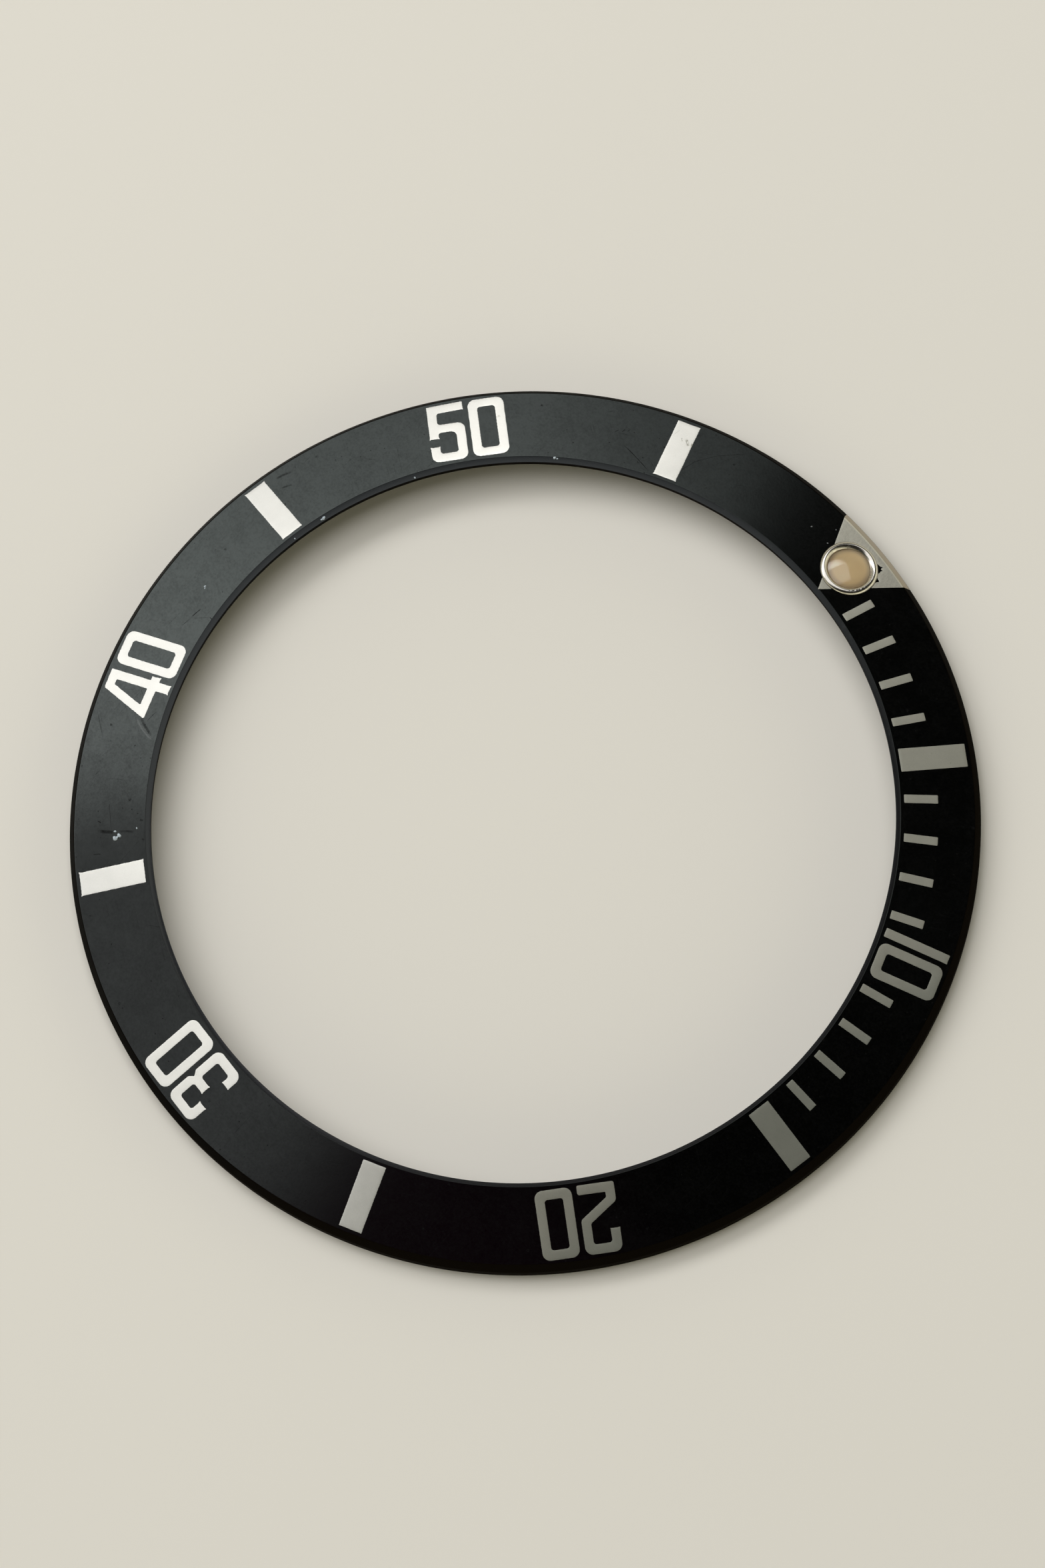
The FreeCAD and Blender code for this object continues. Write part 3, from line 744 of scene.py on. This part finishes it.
# The ring with its stepped hole for the pearl. Face and roll are glossy, the rest is matt.
def makeRing():
    section = np.concatenate([sectionFace, sectionRest])
    points = spun(section, ring["steps"])
    faces = gridFaces(ring["steps"], len(section), wrapColumns=True)
    mesh = closedMesh("ring", points.reshape(-1, 3), faces)
    shoulderEnd = shoulderRadius + ring["shoulderReach"] - ring["edgeRounding"] / 4
    slopes, centres = np.zeros((2, len(mesh.polygons) * 3))
    mesh.polygons.foreach_get("normal", slopes)
    mesh.polygons.foreach_get("center", centres)
    reach = np.hypot(centres[0::3], centres[1::3]) / mm
    facing = (slopes[2::3] > ring["facingLeast"]) & (reach < shoulderEnd)
    bevelled = facing & (reach < lipRadius + ring["bevelWidth"] - ring["crestRounding"] / 2)
    ringFinishes = [faceFinish, edgeFinish, bevelFinish]
    piece = place("anodisedRing", mesh, ringFinishes, ["insert_ring"])
    finish = np.where(bevelled, 2, np.where(facing, 0, 1)).astype(np.int32)
    mesh.polygons.foreach_set("material_index", finish)
    drill = barrelRadius + pearl["clearance"]
    seat = beadRadius + pearl["seatClearance"]
    above, below = pearl["overrun"], -cupDepth - pearl["overrun"]
    profile = [(0, below), (drill, below), (drill, -pearl["seatDepth"]), (seat, -pearl["seatDepth"]),
               (seat, above), (0, above)]
    cutter = place("pearlDrill", spunOnPearl("drill", profile), ringFinishes)
    cutter.data.polygons.foreach_set("material_index", np.ones(len(cutter.data.polygons), np.int32))
    cut = piece.modifiers.new("hole", "BOOLEAN")
    cut.operation, cut.object, cut.solver = "DIFFERENCE", cutter, "EXACT"
    settled = piece.evaluated_get(bpy.context.evaluated_depsgraph_get())
    holed = bpy.data.meshes.new_from_object(settled)
    piece.modifiers.clear()
    piece.data = holed
    bpy.data.objects.remove(cutter)
    holed.shade_smooth()
    holed.set_sharp_from_angle(angle=math.radians(ring["sharpAngle"]))
    return piece


ringPiece = makeRing()
print("ring ready:", len(ringPiece.data.polygons), "faces")


# A thin plate of bare metal on the face: its outline is filled, its edge is eased and it has a back
plate = {
    "lift": 0.007,              # top above the face
    "edgeLift": 0.006,
    "sink": 0.012,              # back below the face
    "easing": 0.016,            # width of the eased edge
    "spacing": 0.13,            # between points inside
    "creaseSpacing": 0.05,      # between points along a bend of the ring
    "weld": 1e-6,
    "rooms": (0.85, 2.2, 1.2),  # how far points beside, inside and on bends keep off it, in easings
    "waver": 0.004,             # how far the edge strays
    "cleanWaver": 0.0012,
    "waves": ((15, 0.5), (41, 0.9), (83, 0.8)),     # radians to a millimetre, and share
    "sharpAngle": 55,
}


def wavered(loop, seed, amount=plate["waver"]):
    generator = np.random.default_rng(seed)
    reach = np.zeros(len(loop))
    for frequency, share in plate["waves"]:
        heading = generator.uniform(0, 2 * math.pi)
        phase = generator.uniform(0, 2 * math.pi)
        ahead = loop[:, 0] * math.cos(heading) + loop[:, 1] * math.sin(heading)
        reach += share * np.sin(frequency * ahead + phase)
    return loop + amount * reach[:, None] * sideways(loop)


# Points along the bends of the ring's section between two radii, so that a plate bends where it does
def creasePoints(low, high, halfWidth):
    radii = np.unique(sectionFace[:, 0].round(5))
    radii = radii[(radii > low) & (radii < high)]
    turns = np.arange(-halfWidth, halfWidth, plate["creaseSpacing"]) / high
    radii, turns = np.meshgrid(radii, turns)
    return np.stack([radii * np.sin(turns), radii * np.cos(turns)], -1).reshape(-1, 2)


def thinPlate(name, minute, loops, keep=None, creases=np.zeros((0, 2))):
    keep = keep or (lambda spots: enclosed(spots, loops))
    edges = np.concatenate(loops)
    low, high = edges.min(0), edges.max(0)
    rows, columns = (np.arange(a, b, plate["spacing"]) for a, b in zip(low, high))
    grid = np.stack(np.meshgrid(rows, columns), -1).reshape(-1, 2)
    eased = np.concatenate([loop + side * plate["easing"] * sideways(loop)
                            for loop in loops for side in (-1, 1)])
    inner = []
    for spots, room in zip((eased, grid, creases), plate["rooms"]):
        spots = spots[keep(spots)]
        gap = np.sqrt(((spots[:, None] - edges[None]) ** 2).sum(2).min(1))
        inner.append(spots[gap > room * plate["easing"]])
    spots = np.concatenate([edges, *inner])
    orders = np.split(np.arange(len(edges)), np.cumsum([len(loop) for loop in loops])[:-1])
    sides = np.concatenate([np.stack([order, np.roll(order, -1)], 1) for order in orders])
    found, _, faces, origins, _, _ = delaunay_2d_cdt([Vector(spot) for spot in spots.tolist()],
                                                     sides.tolist(), [], 0, plate["weld"])
    found = np.array([spot[:] for spot in found])
    faces = np.array(faces)
    faces = faces[keep(found[faces].mean(1))]
    used, faces = np.unique(faces, return_inverse=True)
    faces = faces.reshape(-1, 3)
    onEdge = np.array([any(source < len(edges) for source in origins[index]) for index in used])
    found = found[used]
    lift = np.where(onEdge, plate["edgeLift"], plate["lift"])
    top = onFace(minute, found[:, 0], found[:, 1], lift)
    back = onFace(minute, found[:, 0], found[:, 1], -plate["sink"])
    count = len(found)
    links = np.concatenate([faces[:, [0, 1]], faces[:, [1, 2]], faces[:, [2, 0]]])
    keys = {tuple(link) for link in links.tolist()}
    rims = [(a, b, b + count, a + count) for a, b in keys if (b, a) not in keys]
    faces = [*faces.tolist(), *(faces[:, ::-1] + count).tolist(), *sorted(rims)]
    return closedMesh(name, np.concatenate([top, back]), faces, plate["sharpAngle"])


# Marks of the dial, each in its own minute's frame
marks = {
    "margin": 0.07,             # dark rim of the dial inside and outside the bars and numerals
    "barWidth": 0.98,
    "tickMargin": 0.09,
    "tickLength": 1.38,
    "tickWidth": 0.35,
    "digitWidth": 1.51,
    "stroke": 0.38,
    "digitGap": 0.22,
    "corner": 0.32,
    "counter": 0.12,
    "sharp": 0.02,
    "flare": 0.035,             # how far a sharp corner spreads
    "flareShares": (-0.1, 1.0),     # and the range that the bars draw from
    "barCorner": 0.02,
    "cleanCorner": 0.03,
    "lastClean": 15,            # minute of the last bar with clean corners
    "lastSmooth": 30,           # and of the last numeral with smooth sides
}
markInner = crestRadius + marks["margin"]
markLength = dialWidth - 2 * marks["margin"]


def box(left, low, right, high):
    return [(left, low), (right, low), (right, high), (left, high)]


# The marks up to a quarter past have clean, slightly rounded corners, the later bars spread at theirs
def straightMark(name, node, minute, width, inner, length):
    name, node = f"{name}{minute:02d}", f"{node}_{minute:02d}"
    spreads = minute > marks["lastClean"]
    flares = marks["flare"] * np.random.default_rng(minute).uniform(*marks["flareShares"], 4) * spreads
    rounding = marks["barCorner"] if spreads else marks["cleanCorner"]
    amount = plate["waver"] if spreads else plate["cleanWaver"]
    corners = box(-width / 2, inner, width / 2, inner + length)
    outline = roundedOutline([(*corner, rounding, flare) for corner, flare in zip(corners, flares)])
    mesh = thinPlate(name, minute, [wavered(outline, minute, amount)])
    place(name, mesh, [markFinish], [node])


for minute in range(5, minutesPerTurn, 10):
    straightMark("fiveMinuteBar", "five_minute_bar", minute, marks["barWidth"], markInner, markLength)
for minute in range(1, marks["lastClean"]):
    if minute % 5:
        straightMark("minuteTick", "minute_tick", minute, marks["tickWidth"],
                     crestRadius + marks["tickMargin"], marks["tickLength"])
print("bars and ticks ready")


# Outlines of the digits from their own lower left corner, tops outward
def digitLoops():
    w, h, s = marks["digitWidth"], markLength, marks["stroke"]
    soft, tight, sharp, flare = (marks[name] for name in ("corner", "counter", "sharp", "flare"))
    full, part = (sharp, flare), (sharp, flare / 2)
    zero = [[(*corner, soft) for corner in box(0, 0, w, h)],
            [(*corner, tight) for corner in box(s, s, w - s, h - s)]]
    one = [[(0, 0, sharp), (s, 0, sharp), (s, h, sharp, flare / 4), (0, h, sharp)]]
    foot, head, rise, hook = 0.216 * h, 0.498 * h, 0.062 * h, 0.663 * h
    two = [[(0, 0, 0.09), (w, 0, 0.06), (w, s, 0.09), (s, s, 0.05), (s, foot, 0.10), (w, head, 0.22),
            (w, h, soft), (0, h, soft), (0, hook, *part), (s, hook, *part), (s, h - s, tight),
            (w - s, h - s, tight), (w - s, head + rise, 0.12), (0, foot + rise, 0.24)]]
    arm, footHook, headHook, waist, notch = 0.458 * h, 0.264 * h, 0.696 * h, 0.17, 0.20
    middle, reach = arm + s / 2, w - s - 0.54
    three = [[(0, 0, soft), (w, 0, soft), (w, middle - notch, 0.10), (w - waist, middle, 0.05),
              (w, middle + notch, 0.10), (w, h, soft), (0, h, soft), (0, headHook, *full),
              (s, headHook, *full), (s, h - s, tight), (w - s, h - s, tight), (w - s, arm + s, tight),
              (reach, arm + s, *full), (reach, arm, *full), (w - s, arm, tight), (w - s, s, tight),
              (s, s, tight), (s, footHook, *part), (0, footHook, *part)]]
    lean, headWidth, bar, arms = 0.79, 0.86, 0.201 * h, 0.20
    stem, side = lean + headWidth - s, lean + headWidth
    perHeight = lean / (h - bar)
    four = [[(0, bar, 0.06), (stem, bar, 0.06), (stem, 0, *full), (side, 0, *full), (side, bar, 0.04),
             (side + arms, bar, *full), (side + arms - 0.02, bar + s, *part), (side, bar + s, 0.04),
             (side, h, 0.05), (lean, h - 0.02, 0.09)],
            [(s * (1 + perHeight), bar + s, 0.05), (stem, bar + s, 0.05), (stem, h - s, 0.07),
             (s + perHeight * (h - s - bar), h - s, 0.07)]]
    bowl, stemEnd = 0.648 * h, 0.410 * h
    five = [[(0, 0, soft), (w, 0, soft), (w, bowl, soft), (s, bowl, tight), (s, h - s - 0.03, tight),
             (w, h - s + 0.02, *part), (w, h + 0.02, sharp), (0, h - 0.05, 0.04), (0, stemEnd, *full),
             (s, stemEnd, *full), (s, bowl - s, tight), (w - s, bowl - s, 0.24), (w - s, s, tight),
             (s, s, tight), (s, footHook, *part), (0, footHook, *full)]]
    return {"0": zero, "1": one, "2": two, "3": three, "4": four, "5": five}, side + arms


digits, fourWidth = digitLoops()
leading = {"1": (marks["stroke"], marks["stroke"], marks["digitGap"]),
           "4": (marks["digitWidth"], fourWidth, 0.10)}


def numeral(minute):
    tens, ones = str(minute)
    amount = plate["waver"] if minute > marks["lastSmooth"] else 1.5 * plate["cleanWaver"]
    plain = (marks["digitWidth"], marks["digitWidth"], marks["digitGap"])
    cell, width, gap = leading.get(tens, plain)
    onesStart = (cell + marks["digitGap"] - marks["digitWidth"]) / 2
    starts = {tens: onesStart - gap - width, ones: onesStart}
    loops = []
    for digit, across in starts.items():
        for index, corners in enumerate(digits[digit]):
            loop = roundedOutline(corners) + np.array([across, markInner])
            loops.append(wavered(loop, minute + 7 * int(digit) + index, amount))
    name = f"numeral{minute}"
    place(name, thinPlate(name, minute, loops), [markFinish], [f"numeral_{minute}"])


for minute in range(10, minutesPerTurn, 10):
    numeral(minute)
print("numerals ready")


# The triangle at zero: wider outward, over the shoulder, broken round the bead with two chips
triangle = {
    "tipReach": 0.08,
    "halfWidth": 1.97,          # where it meets the shoulder
    "edgeGap": 0.01,            # from the outer wall
    "beadGap": 0.01,
    "arcPoints": 90,            # along the outer edge, each side and round the hole
    "sidePoints": 80,
    "holePoints": 360,
    "cornerShare": 0.9995,      # how far out the outer corners of the sides reach
    "seed": 3,
    "creaseReach": 0.02,        # of the rows of points past the bends they follow
    "tipHalf": 0.3,
}
# Two chips in its metal beside the bead: how far back the edge lies by the angle in degrees
chips = [(24, 0.0), (27, 0.05), (29, 0.12), (31, 0.11), (33, 0.04), (36, 0.0), (45, 0.0), (48, 0.08),
         (50, 0.09), (52, 0.19), (54, 0.11), (56, 0.13), (58, 0.20), (60, 0.10), (63, 0.05), (66, 0.0)]


def makeTriangle():
    tip = crestRadius - triangle["tipReach"]
    widening = triangle["halfWidth"] / (shoulderRadius - tip)
    reach = ring["outerRadius"] - triangle["edgeGap"]
    # the side x = widening (y - tip) meets the circle x^2 + y^2 = reach^2
    a, b, c = 1 + widening ** 2, -2 * widening ** 2 * tip, (widening * tip) ** 2 - reach ** 2
    top = (-b + math.sqrt(b * b - 4 * a * c)) / (2 * a)
    side = widening * (top - tip)
    spread = math.atan2(side, top)
    bearings = np.linspace(spread, -spread, triangle["arcPoints"])
    outward = reach * np.stack([np.sin(bearings), np.cos(bearings)], 1)
    right = np.linspace((0, tip), outward[0], triangle["sidePoints"])[:-1]
    left = np.linspace(outward[-1], (0, tip), triangle["sidePoints"])[1:-1]
    straight = np.concatenate([right, outward[[0, -1]] * triangle["cornerShare"], left])
    straight = wavered(straight, triangle["seed"], plate["cleanWaver"])
    outer = np.concatenate([straight[:len(right)], outward, straight[len(right) + 2:]])
    turn = np.linspace(0, 2 * math.pi, triangle["holePoints"], endpoint=False)
    opening = beadRadius + triangle["beadGap"] + np.interp(np.degrees(turn), *zip(*chips))
    hole = np.stack([opening * np.cos(turn), pearlRadius + opening * math.cos(dialTilt) * np.sin(turn)], 1)

    def keep(spots):
        return enclosed(spots, [outer]) & ~enclosed(spots, [hole])

    past = triangle["creaseReach"]
    creases = np.concatenate([creasePoints(tip, crestRadius + past, triangle["tipHalf"]),
                              creasePoints(shoulderRadius - past, reach, side + 5 * past)])
    mesh = thinPlate("triangle", 0, [outer, hole], keep, creases)
    place("zeroTriangle", mesh, [triangleFinish], ["zero_triangle"])


makeTriangle()
print("triangle ready")


# The cup: barrel, floor, ledge and a rolled bead with small nicks, as (degrees, depth, half width)
nicks = [(322, 0.004, 1.6), (331, 0.008, 2.6), (339, 0.004, 1.6), (345, 0.007, 2.2), (354, 0.004, 2.4)]


def makeCup():
    foot, depth = -pearl["seatDepth"], -cupDepth
    throat, crest = pearl["throatRadius"], (pearl["crestRadius"], pearl["crestHeight"])
    inner = bowed((throat, pearl["throatHeight"]), crest, pearl["throatBulge"], 10)
    outer = bowed(crest, (beadRadius, pearl["beadWall"]), pearl["beadBulge"], 14)[1:]
    profile = np.concatenate([
        [(0, depth + pearl["floor"]), (throat, depth + pearl["floor"])], inner, outer,
        [(beadRadius, foot), (barrelRadius, foot), (barrelRadius, depth + pearl["chamfer"]),
         (barrelRadius - pearl["chamfer"], depth), (0, depth)]])

    # a nick lowers the bead's crest over a few degrees
    def nicked(points):
        angle = np.degrees(np.arctan2(points[..., 1], points[..., 0]))
        reach = np.hypot(points[..., 0], points[..., 1])
        crest = np.exp(-((reach - pearl["crestRadius"]) / pearl["crestHalf"]) ** 2)
        crest *= points[..., 2] > pearl["beadWall"]
        for where, deep, half in nicks:
            away = (angle - where + 180) % 360 - 180
            points[..., 2] -= deep * crest * np.exp(-(away / half) ** 2)
        return points

    mesh = spunOnPearl("cup", profile, pearl["beadSteps"], sharpAngle=35, change=nicked)
    place("pearlCup", mesh, [cupFinish], ["pearl_cup"])


def makeLume():
    top, bottom = pearl["bedding"] - pearl["lensFoot"], pearl["floor"] - cupDepth
    radius = pearl["throatRadius"] - 1.5 * pearl["clearance"]
    filled = [(radius * share, top) for share in np.linspace(0, 0.97, 17)]
    profile = [*filled, (radius, top - pearl["fillChamfer"]), (radius, bottom), (0, bottom)]

    # the fill is slightly uneven: two crossed waves
    def uneven(points):
        x, y, z = np.moveaxis(points, -1, 0)
        z += (z > top - pearl["fillChamfer"] / 2) * pearl["fillWave"] * np.sin(7 * x + 1) * np.sin(6 * y)
        return points

    place("pearlLume", spunOnPearl("lume", profile, change=uneven), [lumeFinish], ["pearl_lume"])


def makeLens():
    radius = pearl["throatRadius"] - pearl["clearance"]
    curve = (radius ** 2 + pearl["dome"] ** 2) / (2 * pearl["dome"])
    crown = pearl["lensRim"] + pearl["dome"]
    lean = np.linspace(0, math.asin(radius / curve), 26)
    dome = np.stack([curve * np.sin(lean), crown - curve + curve * np.cos(lean)], 1)
    foot = -pearl["lensFoot"]
    chamfer = pearl["lensChamfer"]
    profile = np.concatenate([dome, [(radius, foot + chamfer), (radius - chamfer, foot), (0, foot)]])
    place("pearlLens", spunOnPearl("lens", profile, sharpAngle=50), [lensFinish], ["pearl_lens"])


makeCup()
makeLume()
makeLens()
print("pearl ready")


# Crumbs of grit stuck to the face: lumpy balls, r = size (1 + waves of both angles)
grit = {
    "seed": 11,
    "turns": 18,
    "rings": 13,
    "waves": (0.16, 0.10),      # twice and three times round
    "raised": 0.5,              # centre above the face, in sizes
    "gloss": 0.35,
}
crumbs = [  # minute, radius, size, flatness
    (36.09, 16.75, 0.050, 0.7), (35.98, 16.58, 0.085, 0.6), (35.92, 16.76, 0.095, 0.6),
    (35.94, 16.68, 0.06, 0.6), (36.12, 15.83, 0.035, 0.7), (52.13, 15.44, 0.055, 0.7),
    (52.20, 15.42, 0.035, 0.7), (48.46, 15.33, 0.04, 0.8),
    (42.54, 16.63, 0.045, 0.6), (42.50, 16.58, 0.03, 0.6), (44.95, 15.35, 0.03, 0.7),
    (45.87, 15.37, 0.075, 0.5), (45.80, 15.36, 0.04, 0.6)]
darkCrumbs = [(58.66, 17.19, 0.034, 0.3), (59.09, 17.83, 0.026, 0.3), (59.21, 17.14, 0.034, 0.5)]


def makeCrumbs(piece, crumbs, dark, pale):
    generator = np.random.default_rng(grit["seed"])
    rows, columns = grit["turns"], grit["rings"]
    turn = np.arange(rows)[:, None] * 2 * math.pi / rows
    tilt = np.linspace(0, math.pi, columns)[None]
    points, faces = [], []
    for minute, radius, size, flatness in crumbs:
        a, b, c = generator.uniform(0, 6, 3)
        double, triple = np.sin(2 * turn + a), np.sin(3 * turn + 2 * tilt + b)
        waves = grit["waves"][0] * double + grit["waves"][1] * triple
        bulge = size * (1 + waves * np.sin(tilt) ** 2)
        x, y = ringSpot(minute, radius)
        height = faceHeight(radius) + flatness * (grit["raised"] * size + bulge * np.cos(tilt))
        ball = np.stack([x + bulge * np.sin(tilt) * np.cos(turn + c),
                         y + bulge * np.sin(tilt) * np.sin(turn + c), height], -1)
        faces.append(gridFaces(rows, columns) + len(points) * rows * columns)
        points.append(ball.reshape(-1, 3))
    material, spot = startMaterial(piece + "Grit")
    tint = noise(spot, 0.05, detail=2.0).eased(0.3, 0.7).blend(dark, pale)
    paint(material, Base_Color=tint, Roughness=grit["gloss"])
    mesh = closedMesh(piece, np.concatenate(points), np.concatenate(faces), sharpAngle=80)
    place(piece, mesh, [material])


makeCrumbs("paleCrumbs", crumbs, tone(0.28, 0.32, 0.36), tone(0.58, 0.66, 0.75))
makeCrumbs("darkCrumbs", darkCrumbs, tone(0.05, 0.055, 0.06), tone(0.16, 0.17, 0.18))
print("grit ready")


# Stage: a plain pale floor, two soft panels, and a room that is pale near the horizon and dim above
stage = {
    "floorHalf": 3.0,           # metres
    "floorTint": tone(0.82, 0.79, 0.74),
    "panelDistance": 0.60,
    "panelTint": (1.0, 1.0, 0.985),
    "roomTint": tone(0.019, 0.0175, 0.013),
    "darkSide": tone(0.66, 0.64, 0.48),     # the horizon beneath the panels
    "paleSide": tone(1.45, 1.40, 1.02),     # and opposite them
    "sideEnds": (-0.8, 0.8),    # where a unit ray points along X
    "horizonEnds": (0.20, 0.60),    # and along Z
}
# Azimuth clockwise from the triangle, elevation and roll in degrees, then width, height and the
# faded borders across and up in metres, and radiance
panels = {
    "widePanel": (261.0, 66.7, 26.5, 0.926, 0.565, 0.060, 0.135, 1.50),
    "brightStrip": (260.5, 44.3, 16.8, 0.888, 0.180, 0.360, 0.073, 3.20),
}


def makePanel(name, azimuth, elevation, roll, width, height, fadeAcross, fadeUp, radiance):
    light = bpy.data.lights.new(name, "AREA")
    light.shape, light.size, light.size_y = "RECTANGLE", width + fadeAcross, height + fadeUp
    light.energy = radiance * math.pi * light.size * light.size_y
    light.color = stage["panelTint"]
    light.use_nodes = True
    tree = light.node_tree
    spot = Wire(tree).node("NewGeometry", output="Parametric")
    along, up = spot.axis("X"), spot.axis("Y")
    shareAcross, shareUp = fadeAcross / light.size, fadeUp / light.size_y
    faded = abs(along - 0.5).eased(0.5, 0.5 - shareAcross) * abs(up - 0.5).eased(0.5, 0.5 - shareUp)
    feed(tree.nodes["Emission"].inputs["Strength"], faded)
    lamp = addObject(name, light)
    lamp.visible_camera = False
    # from straight above it is rolled, leaned over and turned to its azimuth
    turns = ((-azimuth, "Z"), (elevation - 90, "X"), (-roll, "Z"))
    turn, lean, spin = (Matrix.Rotation(math.radians(angle), 4, axis) for angle, axis in turns)
    lamp.matrix_world = turn @ lean @ spin @ Matrix.Translation((0, 0, stage["panelDistance"]))


def makeStage():
    half = stage["floorHalf"]
    mesh = bpy.data.meshes.new("floor")
    mesh.from_pydata([(*corner, 0) for corner in box(-half, -half, half, half)], [], [(0, 1, 2, 3)])
    floor = addObject("floor", mesh)
    material, spot = startMaterial("paleFloor")
    paint(material, Base_Color=stage["floorTint"], Roughness=0.9, Specular_IOR_Level=0.1)
    mesh.materials.append(material)

    for name, values in panels.items():
        makePanel(name, *values)
    world = bpy.data.worlds.new("room")
    bpy.context.scene.world = world
    world.use_nodes = True
    tree = world.node_tree
    ray = Wire(tree).node("TexCoord", output="Generated")
    horizon = ray.axis("X").eased(*stage["sideEnds"]).blend(stage["darkSide"], stage["paleSide"])
    tint = ray.axis("Z").eased(*stage["horizonEnds"][::-1]).blend(stage["roomTint"], horizon)
    feed(tree.nodes["Background"].inputs["Color"], tint)


makeStage()

# The camera stands as the photograph's did, solved from the corners of the marks
view = {
    "location": (59.26, -27.85, 236.53),      # millimetres
    "rotation": (15.5096, 3.4474, 52.3232),   # degrees
    "lens": 136.86,
    "sensor": 36.0,
    "clip": (0.01, 20.0),       # metres
}
camera = addObject("camera", bpy.data.cameras.new("camera"))
camera.location = Vector(view["location"]) * mm
camera.rotation_euler = [math.radians(angle) for angle in view["rotation"]]
camera.data.lens, camera.data.sensor_width = view["lens"], view["sensor"]
camera.data.clip_start, camera.data.clip_end = view["clip"]
bpy.context.scene.camera = camera
bpy.context.scene.view_settings.view_transform = "Standard"

print("scene ready")
